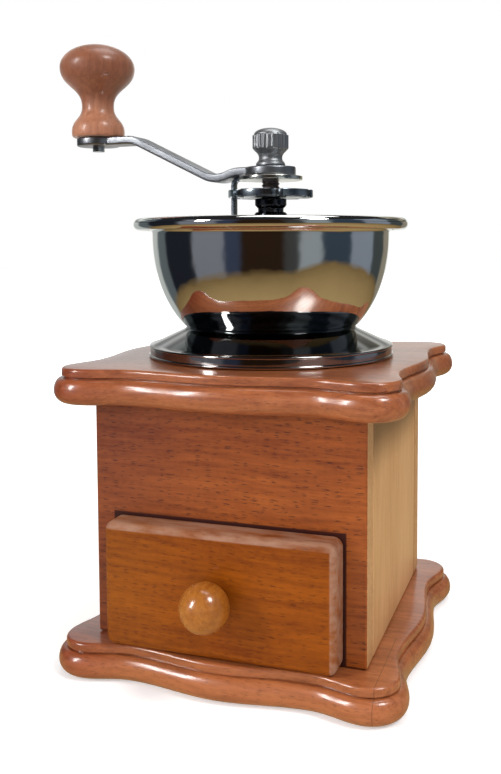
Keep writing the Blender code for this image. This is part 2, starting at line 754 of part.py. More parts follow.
def build_bowl():
    """The open bowl with its rolled bead, on the foot's neck and the ring's pillars."""
    centre = Vector((BOWL_RIM_RADIUS - BOWL_BEAD_RADIUS, BOWL_FOOT + BOWL_RIM_RISE))
    bead = arc(centre, BOWL_BEAD_RADIUS, BOWL_BEAD_START, BOWL_BEAD_END, BOWL_BEAD_STEPS)
    wall = bowl_wall()
    inner = list(reversed(set_off(wall, BOWL_SHEET)))
    bowl = piece("hopper_bowl", spun(wall + bead + inner, BOWL_STEPS, closed=True), CHROME)
    radius = BRIDGE_SCREW_RADIUS + FIT_GAP
    for side, x in (("left", -PILLAR_OFFSET), ("right", PILLAR_OFFSET)):
        low, high = BOWL_FOOT - CUT_OVERRUN, BOWL_FOOT + BOWL_SHEET + CUT_OVERRUN
        boolean(bowl, drill(f"{side}_bowl_hole", radius, low, high, (x, 0)), "DIFFERENCE")


def chamfered_section(half_width, half_depth, chamfer):
    """The eight corners of a bar's section, as (across, up)."""
    near = half_width - chamfer
    low = half_depth - chamfer
    return [
        (near, -half_depth), (half_width, -low), (half_width, low), (near, half_depth),
        (-near, half_depth), (-half_width, low), (-half_width, -low), (-near, -half_depth),
    ]


def bent_bar(stations, depth, chamfer):
    """The mesh of a bar bent in the XZ plane; a station is (x, z, half width)."""
    rings = []
    path = [Vector((x, z)) for x, z, _ in stations]
    neighbours = zip(path[:1] + path, path[1:] + path[-1:])
    for (x, z, half_width), (before, after) in zip(stations, neighbours):
        along = (after - before).normalized()
        ring = []
        for across, up in chamfered_section(half_width, depth / 2, min(chamfer, half_width / 2)):
            ring.append(Vector((x - along.y * up, across, z + along.x * up)))
        rings.append(ring)
    return lofted(rings)


def bridge_pad(side):
    """The mesh of one foot: round under the screw, square where the arm stands."""
    end = arc((PILLAR_OFFSET, 0), BRIDGE_PAD_RADIUS, -pi / 2, pi / 2, 6)
    inner = PILLAR_OFFSET - BRIDGE_ARM_INSET - BRIDGE_ARM_DEPTH / 2
    corners = [Vector((inner, BRIDGE_PAD_RADIUS)), Vector((inner, -BRIDGE_PAD_RADIUS))]
    outline = [Vector((side * point.x, side * point.y)) for point in end + corners]
    return lofted([at_height(outline, z) for z in (BRIDGE_FOOT, BRIDGE_FOOT + BRIDGE_PAD_THICKNESS)])


def hub_profile():
    """The hub from its foot up: thick below, then a waist and a rounded tip."""
    base = HUB_BORE + HUB_BASE_WALL
    neck = HUB_BORE + HUB_NECK_WALL
    start = (base, HUB_FOOT + HUB_BASE_HEIGHT)
    end = (neck, HUB_TOP - HUB_TIP_HEIGHT)
    middle = (start[1] + end[1]) / 2
    flare = bezier(start, (base, middle), (neck, middle), end)
    return [(0, HUB_FOOT), (base, HUB_FOOT)] + flare + [(HUB_BORE + HUB_TIP_WALL, HUB_TOP), (0, HUB_TOP)]


def build_bridge():
    """The cast bridge: an arch on two feet, with the hub that holds the collar."""
    bridge = piece("bearing_bridge", spun(hub_profile(), SHAFT_STEPS), BLACK_GLOSS)
    level = BRIDGE_FOOT + BRIDGE_PAD_THICKNESS / 2
    reach = PILLAR_OFFSET - BRIDGE_ARM_INSET
    stations = []
    for i in range(BRIDGE_ARCH_STEPS + 1):
        angle = pi * i / BRIDGE_ARCH_STEPS
        stations.append((reach * cos(angle), level + BRIDGE_ARCH_RISE * sin(angle), BRIDGE_ARM_WIDTH / 2))
    arch = piece("bridge_arch", bent_bar(stations, BRIDGE_ARM_DEPTH, BRIDGE_ARM_CHAMFER))
    boolean(bridge, arch, "UNION")
    sizes = (BRIDGE_SCREW_RADIUS, BRIDGE_SCREW_HEAD_RADIUS, BRIDGE_SCREW_HEAD_HEIGHT, BRIDGE_SCREW_LENGTH)
    top = BRIDGE_FOOT + BRIDGE_PAD_THICKNESS
    for i, side in enumerate((-1, 1), start=1):
        boolean(bridge, piece(f"bridge_pad_{i}", bridge_pad(side)), "UNION")
    for i, side in enumerate((-1, 1), start=1):
        x = side * PILLAR_OFFSET
        radius = BRIDGE_SCREW_RADIUS + FIT_GAP
        hole = drill(f"bridge_hole_{i}", radius, BRIDGE_FOOT - CUT_OVERRUN, top + CUT_OVERRUN, (x, 0))
        boolean(bridge, hole, "DIFFERENCE")
        at = (x, 0, top + FIT_GAP)
        piece(f"bridge_screw_{i}", spun(pan_head(*sizes), SCREW_STEPS), SATIN_NICKEL, at=at)
    bore = rod(HUB_BORE, HUB_FOOT - CUT_OVERRUN, HUB_TOP + CUT_OVERRUN, SHAFT_STEPS)
    boolean(bridge, piece("hub_bore", bore), "DIFFERENCE")


def build_bush():
    """The black collar that lines the hub and carries the star wheel on its head."""
    head_foot = BUSH_TOP - BUSH_HEAD_HEIGHT
    slope = BUSH_HEAD_RADIUS - BUSH_RADIUS
    profile = [
        (BUSH_BORE, BUSH_TOP - BUSH_LENGTH - BUSH_HEAD_HEIGHT),
        (BUSH_RADIUS, BUSH_TOP - BUSH_LENGTH - BUSH_HEAD_HEIGHT),
        (BUSH_RADIUS, head_foot - slope),
        (BUSH_HEAD_RADIUS, head_foot),
        (BUSH_HEAD_RADIUS, BUSH_TOP - FIT_GAP),
        (BUSH_HEAD_RADIUS - FIT_GAP, BUSH_TOP),
        (BUSH_BORE, BUSH_TOP),
    ]
    piece("bearing_bush", spun(profile, SHAFT_STEPS, closed=True), BLACK_GLOSS)


def star_outline():
    """The star wheel's outline: round lobes between U notches, the first notch on +X."""
    half = WHEEL_NOTCH_WIDTH / 2
    spread = asin(half / WHEEL_RADIUS)
    pitch = tau / WHEEL_NOTCHES
    round_centre = WHEEL_RADIUS - WHEEL_NOTCH_DEPTH + half
    outline = []
    for i in range(WHEEL_NOTCHES):
        middle = i * pitch
        way = Vector((cos(middle), sin(middle)))
        notch = arc(way * round_centre, half, middle - pi / 2, middle - pi * 3 / 2, WHEEL_NOTCH_STEPS)
        lobe = arc((0, 0), WHEEL_RADIUS, middle + spread, middle + pitch - spread, WHEEL_LOBE_STEPS)
        outline += notch + lobe
    return outline


def build_wheel(axis):
    """The star wheel that screws up and down the spindle."""
    edge = [
        (WHEEL_CHAMFER, WHEEL_FOOT),
        (0, WHEEL_FOOT + WHEEL_CHAMFER),
        (0, WHEEL_TOP - WHEEL_CHAMFER),
        (WHEEL_CHAMFER, WHEEL_TOP),
    ]
    wheel = piece("adjusting_wheel", moulded(star_outline(), edge), BLUED_STEEL, parent=axis)
    hole = rod(SHAFT_HOLE_RADIUS, WHEEL_FOOT - CUT_OVERRUN, WHEEL_TOP + CUT_OVERRUN, SHAFT_STEPS)
    boolean(wheel, piece("wheel_hole", hole), "DIFFERENCE")


def build_spindle(axis):
    """The shaft: threaded length, spring collar, square for the crank and a thin end."""
    foot = CONE_NUT_FOOT - SPINDLE_TAIL
    square_top = ARM_FOOT + ARM_THICKNESS - SPINDLE_SQUARE_SINK
    end = square_top + SPINDLE_END_LENGTH
    shaft = circle(SPINDLE_RADIUS, SHAFT_STEPS)
    collar = circle(COLLAR_RADIUS, SHAFT_STEPS)
    tang = square(SPINDLE_SQUARE, SHAFT_STEPS)
    thin = circle(SPINDLE_END_RADIUS, SHAFT_STEPS)
    rings = [
        at_height(circle(SPINDLE_RADIUS - SPINDLE_CHAMFER, SHAFT_STEPS), foot),
        at_height(shaft, foot + SPINDLE_CHAMFER),
        at_height(shaft, COLLAR_FOOT),
        at_height(collar, COLLAR_FOOT),
        at_height(collar, COLLAR_TOP),
        at_height(shaft, COLLAR_TOP),
        at_height(shaft, SHOULDER),
        at_height(tang, SHOULDER),
        at_height(tang, square_top),
        at_height(thin, square_top),
        at_height(thin, end - SPINDLE_CHAMFER),
        at_height(circle(SPINDLE_END_RADIUS - SPINDLE_CHAMFER, SHAFT_STEPS), end),
    ]
    piece("spindle", lofted(rings), SPRING_STEEL, parent=axis)
    return end


def cone_radius(height):
    """The ring's bore radius over the fine teeth at a height."""
    share = (height - RING_FOOT) / (RING_WAIST_HEIGHT - RING_FOOT)
    return RING_MOUTH_RADIUS + (RING_WAIST_RADIUS - RING_MOUTH_RADIUS) * share


def bladed_cone(point):
    """Cuts the slanting blades into the cone's outside."""
    radius = point.to_2d().length
    if radius < SHAFT_HOLE_RADIUS + WELD:
        return point
    angle = point.to_2d().angle_signed(Vector((1, 0)))
    wave = (1 + cos(CONE_BLADES * angle)) / 2
    smaller = radius - CONE_BLADE_DEPTH * wave
    turned = angle + CONE_TWIST * (point.z - RING_FOOT) / CONE_HEIGHT
    return Vector((smaller * cos(turned), smaller * sin(turned), point.z))


def build_cone(axis):
    """The grinding cone: fine land below, steeper feed above, all in slanting blades."""
    land = RING_FOOT + CONE_LAND_HEIGHT
    foot_radius = cone_radius(RING_FOOT) - CONE_RUNNING_GAP
    land_radius = cone_radius(land) - CONE_RUNNING_GAP
    middle = (RING_FOOT + land) / 2
    upper = (land + CONE_TOP) / 2
    profile = [
        (SHAFT_HOLE_RADIUS, RING_FOOT),
        (foot_radius, RING_FOOT),
        ((foot_radius + land_radius) / 2, middle),
        (land_radius, land),
        ((land_radius + CONE_TOP_RADIUS) / 2, upper),
        (CONE_TOP_RADIUS, CONE_TOP),
        (SHAFT_HOLE_RADIUS, CONE_TOP),
    ]
    mesh = spun(profile, CONE_BLADES * CONE_BLADE_STEPS, closed=True, reshape=bladed_cone)
    piece("inner_burr", mesh, CAST_IRON, parent=axis)


def washer(name, radius, foot, thickness, axis):
    """A flat washer on the spindle."""
    profile = [
        (SHAFT_HOLE_RADIUS, foot),
        (radius, foot),
        (radius, foot + thickness),
        (SHAFT_HOLE_RADIUS, foot + thickness),
    ]
    piece(name, spun(profile, SHAFT_STEPS, closed=True), SATIN_NICKEL, parent=axis)


def build_cone_fixings(axis):
    """The washer and the hexagon nut that hold the cone on the spindle."""
    washer("burr_washer", CONE_WASHER_RADIUS, CONE_WASHER_FOOT, CONE_WASHER_THICKNESS, axis)
    corners = []
    for way in circle(1, SHAFT_STEPS):
        to_flat = (way.angle_signed(Vector((1, 0))) + pi / 6) % (pi / 3) - pi / 6
        corners.append(way * CONE_NUT_FLATS / 2 / cos(to_flat))
    hole = circle(SHAFT_HOLE_RADIUS, SHAFT_STEPS)
    low, high = CONE_NUT_FOOT, CONE_NUT_FOOT + CONE_NUT_HEIGHT
    rings = [at_height(hole, low), at_height(corners, low), at_height(corners, high), at_height(hole, high)]
    piece("burr_nut", lofted(rings, looped=True), SATIN_NICKEL, parent=axis)


def spring_points():
    """The spring's centre line: straight ends and even curls between them."""
    low = COLLAR_TOP + FIT_GAP
    high = SPRING_WASHER_FOOT - FIT_GAP
    start, end = low + SPRING_WIRE, high - SPRING_WIRE
    points = [Vector((SPRING_RADIUS, 0, low))]
    steps = SPRING_CURLS * SPRING_CURL_STEPS
    for i in range(steps + 1):
        angle = tau * i / SPRING_CURL_STEPS
        height = start + (end - start) * i / steps
        points.append(Vector((SPRING_RADIUS * cos(angle), SPRING_RADIUS * sin(angle), height)))
    points.append(Vector((SPRING_RADIUS, 0, high)))
    return points


def least_gap(points):
    """The least free space between one curl's points and the next curl's."""
    far = SPRING_CURL_STEPS // 2
    spaces = [(a - b).length for i, a in enumerate(points) for b in points[i + far:]]
    return min(spaces) - SPRING_WIRE


def build_spring(axis):
    """The pressure spring, one unbroken wire from the collar to its washer."""
    points = spring_points()
    print(f"spring: least gap between curls {least_gap(points) * 1000:.2f} mm")
    wire = bpy.data.curves.new("pressure_spring", "CURVE")
    wire.dimensions = "3D"
    wire.bevel_depth = SPRING_WIRE / 2
    wire.bevel_resolution = 1
    wire.use_fill_caps = True
    spline = wire.splines.new("POLY")
    spline.points.add(len(points) - 1)
    for target, point in zip(spline.points, points):
        target.co = (*point, 1)
    wire.materials.append(material_of("pressure_spring", SPRING_STEEL))
    placed("pressure_spring", wire, parent=axis)
    washer("spring_washer", COLLAR_RADIUS, SPRING_WASHER_FOOT, SPRING_WASHER_THICKNESS, axis)


def build_stop_plate(axis):
    """The disc that turns with the crank, and its tab bent down through a notch."""
    hole = square(SPINDLE_SQUARE + STOP_SQUARE_PLAY * 2, SHAFT_STEPS)
    disc = circle(STOP_RADIUS, SHAFT_STEPS)
    low, high = STOP_FOOT, STOP_FOOT + STOP_THICKNESS
    rings = [at_height(hole, low), at_height(disc, low), at_height(disc, high), at_height(hole, high)]
    plate = piece("stop_plate", lofted(rings, looped=True), PALE_ZINC, parent=axis)
    middle = STOP_THICKNESS / 2
    bend = TAB_BEND_RADIUS - middle
    turn_centre = (TAB_FACE - TAB_BEND_RADIUS, high - TAB_BEND_RADIUS)
    path = [Vector((STOP_RADIUS * TAB_ROOT_SHARE, high - middle))]
    path += arc(turn_centre, bend, pi / 2, 0, TAB_BEND_STEPS)
    path.append(Vector((TAB_FACE - middle, WHEEL_FOOT - TAB_REACH_BELOW_WHEEL)))
    stations = [(point.x, point.y, TAB_WIDTH / 2) for point in path]
    tab = piece("stop_tab", bent_bar(stations, STOP_THICKNESS, TAB_CHAMFER), parent=axis)
    boolean(plate, tab, "UNION")


def arm_line():
    """The arm's bends along its centre line, as (distance from the spindle, height)."""
    level = ARM_FOOT + ARM_THICKNESS / 2
    dip_start = TAB_FACE - TAB_BEND_RADIUS + ARM_TAB_CLEARANCE
    dip_end = dip_start + ARM_DIP_RUN
    return [
        Vector((ARM_EYE_RADIUS, level)),
        Vector((dip_start, level)),
        Vector((dip_end, level - ARM_DIP)),
        Vector((dip_end + ARM_LOW_RUN, level - ARM_DIP)),
        Vector((CRANK_THROW - ARM_LEVEL_RUN, level + ARM_RISE)),
        Vector((CRANK_THROW - ARM_END_RADIUS, level + ARM_RISE)),
    ]


def softened(line):
    """The line with its inner corners rounded."""
    path = [line[0]]
    for before, corner, after in zip(line, line[1:], line[2:]):
        start = corner + (before - corner).normalized() * ARM_BEND
        end = corner + (after - corner).normalized() * ARM_BEND
        path += rounded_corner(start, corner, end, ARM_BEND_STEPS)
    return path + [line[-1]]


def round_end(centre, radius, side):
    """Widths across a round end, from its tip to where the straight arm leaves it."""
    last = pi - asin(ARM_WIDTH / 2 / radius)
    spread = last - ARM_TIP_ANGLE
    angles = [ARM_TIP_ANGLE + spread * i / ARM_ROUND_STEPS for i in range(ARM_ROUND_STEPS + 1)]
    return [(centre + side * radius * cos(angle), radius * sin(angle)) for angle in angles]


def build_arm(axis):
    """The crank's bent bar with a round eye at each end."""
    level = ARM_FOOT + ARM_THICKNESS / 2
    eye = [(x, level, half) for x, half in round_end(0, ARM_EYE_RADIUS, -1)]
    far = [(x, level + ARM_RISE, half) for x, half in round_end(CRANK_THROW, ARM_END_RADIUS, 1)]
    inner = [(point.x, point.y, ARM_WIDTH / 2) for point in softened(arm_line())]
    stations = eye + inner[1:-1] + list(reversed(far))
    arm = piece("crank_arm", bent_bar(stations, ARM_THICKNESS, ARM_CHAMFER), SATIN_NICKEL, parent=axis)
    hole = square(SPINDLE_SQUARE + STOP_SQUARE_PLAY * 2, SHAFT_STEPS)
    low, high = ARM_FOOT - CUT_OVERRUN, ARM_FOOT + ARM_THICKNESS + CUT_OVERRUN
    square_hole = lofted([at_height(hole, z) for z in (low, high)])
    boolean(arm, piece("arm_square_hole", square_hole, parent=axis), "DIFFERENCE")
    bolt_hole = rod(BOLT_RADIUS + FIT_GAP, low + ARM_RISE, high + ARM_RISE, SHAFT_STEPS)
    boolean(arm, piece("arm_bolt_hole", bolt_hole, at=(CRANK_THROW, 0, 0), parent=axis), "DIFFERENCE")


def fluted_nut(point):
    """Presses the knurl's flutes into the nut's head."""
    radius = point.to_2d().length
    if radius < NUT_HEAD_RADIUS - WELD:
        return point
    angle = point.to_2d().angle_signed(Vector((1, 0)))
    smaller = radius - NUT_FLUTE_DEPTH * (1 - cos(NUT_FLUTES * angle)) / 2
    return Vector((smaller * cos(angle), smaller * sin(angle), point.z))


def build_nut(axis, spindle_end):
    """The knurled nut: flared foot, waist, fluted head and a domed top."""
    bore = SPINDLE_END_RADIUS + FIT_GAP
    head_foot = NUT_FOOT + NUT_HEAD_RISE
    head_top = head_foot + NUT_HEAD_HEIGHT
    waist = (NUT_NECK_RADIUS, NUT_FOOT + NUT_NECK_RISE)
    flare = bezier(
        (NUT_FOOT_RADIUS, NUT_FOOT + NUT_CHAMFER / 2),
        (NUT_FOOT_RADIUS, NUT_FOOT + NUT_NECK_RISE / 2),
        (NUT_NECK_RADIUS, NUT_FOOT + NUT_NECK_RISE / 2),
        waist,
        NUT_FLARE_STEPS,
    )
    rim = NUT_HEAD_RADIUS - NUT_CHAMFER
    dome_foot = head_top + NUT_CHAMFER / 2
    dome_rise = NUT_FOOT + NUT_HEIGHT - dome_foot
    turns = [pi / 2 * i / NUT_DOME_STEPS for i in range(NUT_DOME_STEPS)]
    dome = [(rim * cos(turn), dome_foot + dome_rise * sin(turn)) for turn in turns]
    profile = [(0, spindle_end + FIT_GAP), (bore, spindle_end + FIT_GAP), (bore, NUT_FOOT)]
    profile += [(NUT_FOOT_RADIUS - NUT_CHAMFER / 2, NUT_FOOT)] + flare
    profile += [(NUT_HEAD_RADIUS, head_foot), (NUT_HEAD_RADIUS, head_top)]
    profile += dome + [(0, NUT_FOOT + NUT_HEIGHT)]
    piece("lock_nut", spun(profile, NUT_FLUTES * 2, reshape=fluted_nut), SATIN_NICKEL, parent=axis)


def grip_profile():
    """The crank knob's section: bore and well inside, foot, waist, head and dome outside."""
    bore = BOLT_RADIUS + FIT_GAP
    well = BOLT_HEAD_RADIUS + FIT_GAP * 2
    foot_low = GRIP_FOOT + GRIP_FOOT_RISE
    neck = (GRIP_NECK_RADIUS, GRIP_FOOT + GRIP_NECK_RISE)
    head_rise = GRIP_HEAD_RISE - GRIP_NECK_RISE
    head = (GRIP_HEAD_RADIUS, GRIP_FOOT + GRIP_HEAD_RISE)
    waist = bezier(
        (GRIP_FOOT_RADIUS, foot_low),
        (GRIP_FOOT_RADIUS, foot_low + (GRIP_NECK_RISE - GRIP_FOOT_RISE) / 2),
        (GRIP_NECK_RADIUS, neck[1] - (GRIP_NECK_RISE - GRIP_FOOT_RISE) / 2),
        neck,
        GRIP_WAIST_STEPS,
    )
    swell = bezier(neck, (neck[0], neck[1] + head_rise / 2), (head[0], head[1] - head_rise / 2), head)
    dome = GRIP_HEIGHT - GRIP_HEAD_RISE
    lip = acos(well / GRIP_HEAD_RADIUS)
    turns = [lip * i / GRIP_DOME_STEPS for i in range(1, GRIP_DOME_STEPS + 1)]
    cap = [(GRIP_HEAD_RADIUS * cos(turn), head[1] + dome * sin(turn)) for turn in turns]
    well_floor = grip_well_floor()
    return [
        (bore, well_floor),
        (bore, GRIP_FOOT),
        (GRIP_FOOT_RADIUS - GRIP_FOOT_ROUND, GRIP_FOOT),
    ] + waist + swell[1:] + cap + [(well, well_floor)]


def grip_well_floor():
    """The height of the recess in the knob's top, where the bolt's head sits."""
    return GRIP_FOOT + GRIP_HEIGHT - GRIP_WELL_DEPTH


def build_grip(axis):
    """The turned wooden knob that spins on its bolt."""
    mesh = spun(grip_profile(), KNOB_STEPS, closed=True)
    piece("crank_knob", mesh, KNOB_BEECH, parent=axis)
    seat = grip_well_floor() + FIT_GAP
    end = ARM_FOOT + ARM_RISE - BOLT_STICK_OUT
    profile = pan_head(BOLT_RADIUS, BOLT_HEAD_RADIUS, BOLT_HEAD_HEIGHT, seat - end)
    piece("knob_bolt", spun(profile, SCREW_STEPS), SATIN_NICKEL, at=(0, 0, seat), parent=axis)


def build_crank():
    """Everything that the crank carries round, from the cone up to the knob."""
    axis = axis_empty("crank_axis", turn=(0, 0, CRANK_REST_ANGLE))
    build_wheel(axis)
    spindle_end = build_spindle(axis)
    build_cone(axis)
    build_cone_fixings(axis)
    build_spring(axis)
    build_stop_plate(axis)
    build_arm(axis)
    build_nut(axis, spindle_end)
    build_grip(axis_empty("grip_axis", at=(CRANK_THROW, 0, 0), parent=axis))


def build_drawer_front(runner):
    """The drawer's front, with rounded corners, eased edges and a groove for the floor."""
    half_width = DRAWER_FRONT_WIDTH / 2
    half_height = DRAWER_FRONT_HEIGHT / 2
    outline = []
    for i, (x, y) in enumerate(((1, -1), (1, 1), (-1, 1), (-1, -1))):
        centre = (x * (half_width - DRAWER_FRONT_CORNER), y * (half_height - DRAWER_FRONT_CORNER))
        outline += arc(centre, DRAWER_FRONT_CORNER, (i - 1) * pi / 2, i * pi / 2, 3)
    ease = DRAWER_FRONT_EASE
    thick = DRAWER_FRONT_THICKNESS
    diagonal = ease * sqrt(0.5)
    edge = [
        (DRAWER_EASE, 0),
        (0, DRAWER_EASE),
        (0, thick - ease),
        (ease - diagonal, thick - ease + diagonal),
        (ease, thick),
    ]
    front = piece(
        "drawer_front", moulded(outline, edge), BEECH,
        at=(0, DRAWER_FRONT_BACK, PULL_LEVEL), turn=(pi / 2, 0, 0), parent=runner,
    )
    side = DRAWER_HALF - DRAWER_WALL + DRAWER_GROOVE_DEPTH
    groove = block(
        (-side, DRAWER_FRONT_BACK - DRAWER_GROOVE_DEPTH, DRAWER_FLOOR_FOOT - FIT_GAP),
        (side, DRAWER_FRONT_BACK + CUT_OVERRUN, DRAWER_FLOOR_FOOT + DRAWER_FLOOR_THICKNESS + FIT_GAP),
    )
    boolean(front, piece("front_groove", groove, parent=runner), "DIFFERENCE")
    bore = rod(PULL_SCREW_RADIUS + FIT_GAP, -CUT_OVERRUN, DRAWER_FRONT_THICKNESS + CUT_OVERRUN)
    at = (0, DRAWER_FRONT_BACK, PULL_LEVEL)
    hole = piece("pull_hole", bore, at=at, turn=(pi / 2, 0, 0), parent=runner)
    boolean(front, hole, "DIFFERENCE")


def build_drawer_box(runner):
    """The drawer's sides, back and floor; the floor slides in under the back."""
    front = DRAWER_FRONT_BACK + FIT_GAP
    low, high = DRAWER_FOOT, DRAWER_FOOT + DRAWER_HEIGHT
    inner = DRAWER_HALF - DRAWER_WALL
    floor_low, floor_high = DRAWER_FLOOR_FOOT, DRAWER_FLOOR_FOOT + DRAWER_FLOOR_THICKNESS
    groove = inner + DRAWER_GROOVE_DEPTH
    for name, side in (("left", -1), ("right", 1)):
        near, far = sorted((side * inner, side * DRAWER_HALF))
        board = block((near, front, low), (far, DRAWER_REAR, high))
        wall = piece(f"drawer_{name}_side", board, BARE_WOOD, parent=runner)
        eased(wall, DRAWER_EASE)
        cut_near, cut_far = sorted((side * (inner - CUT_OVERRUN), side * groove))
        slot = block(
            (cut_near, front - CUT_OVERRUN, floor_low - FIT_GAP),
            (cut_far, DRAWER_REAR + CUT_OVERRUN, floor_high + FIT_GAP),
        )
        boolean(wall, piece(f"{name}_groove", slot, parent=runner), "DIFFERENCE")
    end = inner - FIT_GAP
    back = block((-end, DRAWER_REAR - DRAWER_WALL, floor_high + FIT_GAP), (end, DRAWER_REAR, high))
    eased(piece("drawer_back", back, BARE_WOOD, parent=runner), DRAWER_EASE)
    reach = groove - FIT_GAP
    floor = block(
        (-reach, DRAWER_FRONT_BACK - DRAWER_GROOVE_DEPTH + FIT_GAP, floor_low),
        (reach, DRAWER_REAR, floor_high),
    )
    piece("drawer_bottom", floor, BARE_WOOD, parent=runner)


def build_pull(runner):
    """The drawer's ball knob on a short neck, held by a screw from inside."""
    ball_centre = PULL_LENGTH - PULL_BALL_RADIUS
    hole = PULL_SCREW_RADIUS + FIT_GAP
    bite = PULL_SCREW_BITE + FIT_GAP
    start = asin(PULL_NECK_RADIUS / PULL_BALL_RADIUS) - pi / 2
    ball = arc((0, ball_centre), PULL_BALL_RADIUS, start, pi / 2, 9)
    ball[-1].x = 0
    neck = [(0, bite), (hole, bite), (hole, FIT_GAP), (PULL_NECK_RADIUS, FIT_GAP)]
    profile = [Vector(point) for point in neck] + ball
    at = (0, DRAWER_FACE, PULL_LEVEL)
    piece("drawer_knob", spun(profile, SHAFT_STEPS), PALE_BEECH, at=at, turn=(pi / 2, 0, 0), parent=runner)
    seat = DRAWER_FRONT_BACK + FIT_GAP
    length = seat - DRAWER_FACE + PULL_SCREW_BITE
    screw = pan_head(PULL_SCREW_RADIUS, PULL_SCREW_HEAD_RADIUS, PULL_SCREW_HEAD_HEIGHT, length)
    at = (0, seat, PULL_LEVEL)
    inward = (-pi / 2, 0, 0)
    piece("drawer_knob_screw", spun(screw, SCREW_STEPS), SATIN_NICKEL, at=at, turn=inward, parent=runner)


def build_drawer():
    """The drawer, which slides out along -Y on the base."""
    runner = axis_empty("drawer_runner")
    build_drawer_front(runner)
    build_drawer_box(runner)
    build_pull(runner)


def main():
    """Builds the whole grinder."""
    clear_scene()
    top = build_box()
    build_outer_burr(top)
    build_foot()
    build_bowl()
    build_bridge()
    build_bush()
    build_crank()
    build_drawer()


main()
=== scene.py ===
"""The looks of a manual coffee grinder: wood, polished metal, studio and camera.

Every length is in metres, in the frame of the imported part: +Z is up, the drawer looks along
-Y and the origin is the centre of the base's underside.
"""

import json
import logging
from abc import ABC, abstractmethod
from collections.abc import Sequence
from dataclasses import dataclass, replace
from enum import Enum
from functools import reduce
from math import cos, pi, radians, sin, tau

import bmesh
import bpy
import numpy as np
from mathutils import Matrix, Vector

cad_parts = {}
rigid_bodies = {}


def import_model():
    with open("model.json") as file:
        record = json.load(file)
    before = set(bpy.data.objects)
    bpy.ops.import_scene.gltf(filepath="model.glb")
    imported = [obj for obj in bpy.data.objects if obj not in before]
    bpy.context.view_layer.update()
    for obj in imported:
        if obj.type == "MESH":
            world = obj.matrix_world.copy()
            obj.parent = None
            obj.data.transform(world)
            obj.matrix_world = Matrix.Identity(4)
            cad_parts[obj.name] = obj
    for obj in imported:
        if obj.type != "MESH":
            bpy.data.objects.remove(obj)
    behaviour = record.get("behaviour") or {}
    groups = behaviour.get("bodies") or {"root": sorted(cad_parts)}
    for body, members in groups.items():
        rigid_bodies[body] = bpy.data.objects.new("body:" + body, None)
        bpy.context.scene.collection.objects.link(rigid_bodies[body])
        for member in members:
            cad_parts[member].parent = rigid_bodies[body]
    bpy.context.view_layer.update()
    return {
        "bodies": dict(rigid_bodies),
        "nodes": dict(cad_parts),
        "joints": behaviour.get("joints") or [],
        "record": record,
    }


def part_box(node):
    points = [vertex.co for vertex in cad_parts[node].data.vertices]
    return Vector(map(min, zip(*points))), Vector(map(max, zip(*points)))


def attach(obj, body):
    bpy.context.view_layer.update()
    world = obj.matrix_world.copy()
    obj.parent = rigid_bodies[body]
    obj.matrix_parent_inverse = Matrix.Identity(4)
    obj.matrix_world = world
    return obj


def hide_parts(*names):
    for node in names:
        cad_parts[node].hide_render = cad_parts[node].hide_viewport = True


LOG = logging.getLogger("coffee_grinder")
Colour = tuple[float, float, float]
Point = tuple[float, float]
Curve = tuple[Point, Point, Point, Point]
Socket = bpy.types.NodeSocket
FIGURE = "beech_figure"
HANDLING = "metal_handling"
REST_ANGLE = radians(177)  # the crank's at rest, counted from +X
PLAY = 0.0003  # the gap between a piece and the next one on the shaft
ARRIS_POINTS = 5
MERGE = 1e-7
SHARP = radians(40)


class Body(Enum):
    """The moving bodies that pieces ride on."""

    HOUSING = "housing"
    WHEEL = "wheel"
    SHAFT = "shaft"
    STOP = "stop"
    CRANK = "crank"
    NUT = "nut"
    GRIP = "grip"
    DRAWER = "drawer"


class Grain(Enum):
    """Which way the grain of a wooden piece runs, as a turn that brings X onto it."""

    ACROSS = (0.0, 0.0, 0.0)
    UPRIGHT = (0.0, pi / 2, 0.0)
    DEEP = (0.0, 0.0, pi / 2)


# Curves in a plane


def arc(centre: Point, radius: float, start: float, end: float, count: int) -> np.ndarray:
    """Points on a round stretch: centre + radius * (cos, sin).

    Args:
        centre: The arc's centre.
        radius: Its radius.
        start: The first angle in radians.
        end: The last angle in radians.
        count: How many points.

    Returns:
        An array of count points.
    """
    angle = np.linspace(start, end, count)
    return np.column_stack((centre[0] + radius * np.cos(angle), centre[1] + radius * np.sin(angle)))


def turns(count: int) -> np.ndarray:
    """Evenly spaced angles of one turn, without its end."""
    return np.linspace(0, tau, count, endpoint=False)


def square_radius(half: float, angle: np.ndarray) -> np.ndarray:
    """The distance from a square's middle to its side at each angle."""
    return half / np.maximum(np.abs(np.cos(angle)), np.abs(np.sin(angle)))


def directions(flat: np.ndarray) -> np.ndarray:
    """The unit vector from the origin to each flat point."""
    return flat / np.linalg.norm(flat, axis=1, keepdims=True)


def lifted(flat: np.ndarray, height: float) -> np.ndarray:
    """Flat points at a height."""
    return np.column_stack((flat, np.full(len(flat), height)))


def bezier(corners: Sequence[Point], count: int, base: float = 0.0) -> np.ndarray:
    """Points on a cubic curve, from the Bernstein weights of its four corners.

    Args:
        corners: Start, two handles and end.
        count: How many points.
        base: What is added to the second coordinate.

    Returns:
        An array of count points.
    """
    t = np.linspace(0, 1, count)[:, None]
    weights = ((1 - t) ** 3, 3 * t * (1 - t) ** 2, 3 * t**2 * (1 - t), t**3)
    return sum(weight * np.array((x, base + y)) for weight, (x, y) in zip(weights, corners))


def straight(start: Point, end: Point, count: int) -> np.ndarray:
    """Evenly spaced points from start to end."""
    return np.linspace(start, end, count)


def joined(*parts: np.ndarray) -> np.ndarray:
    """One path through several stretches, without points that repeat.

    Args:
        parts: The stretches, each an array of points.

    Returns:
        The whole path.
    """
    path = np.vstack(parts)
    keep = np.ones(len(path), bool)
    keep[1:] = np.linalg.norm(np.diff(path, axis=0), axis=1) > MERGE
    return path[keep]


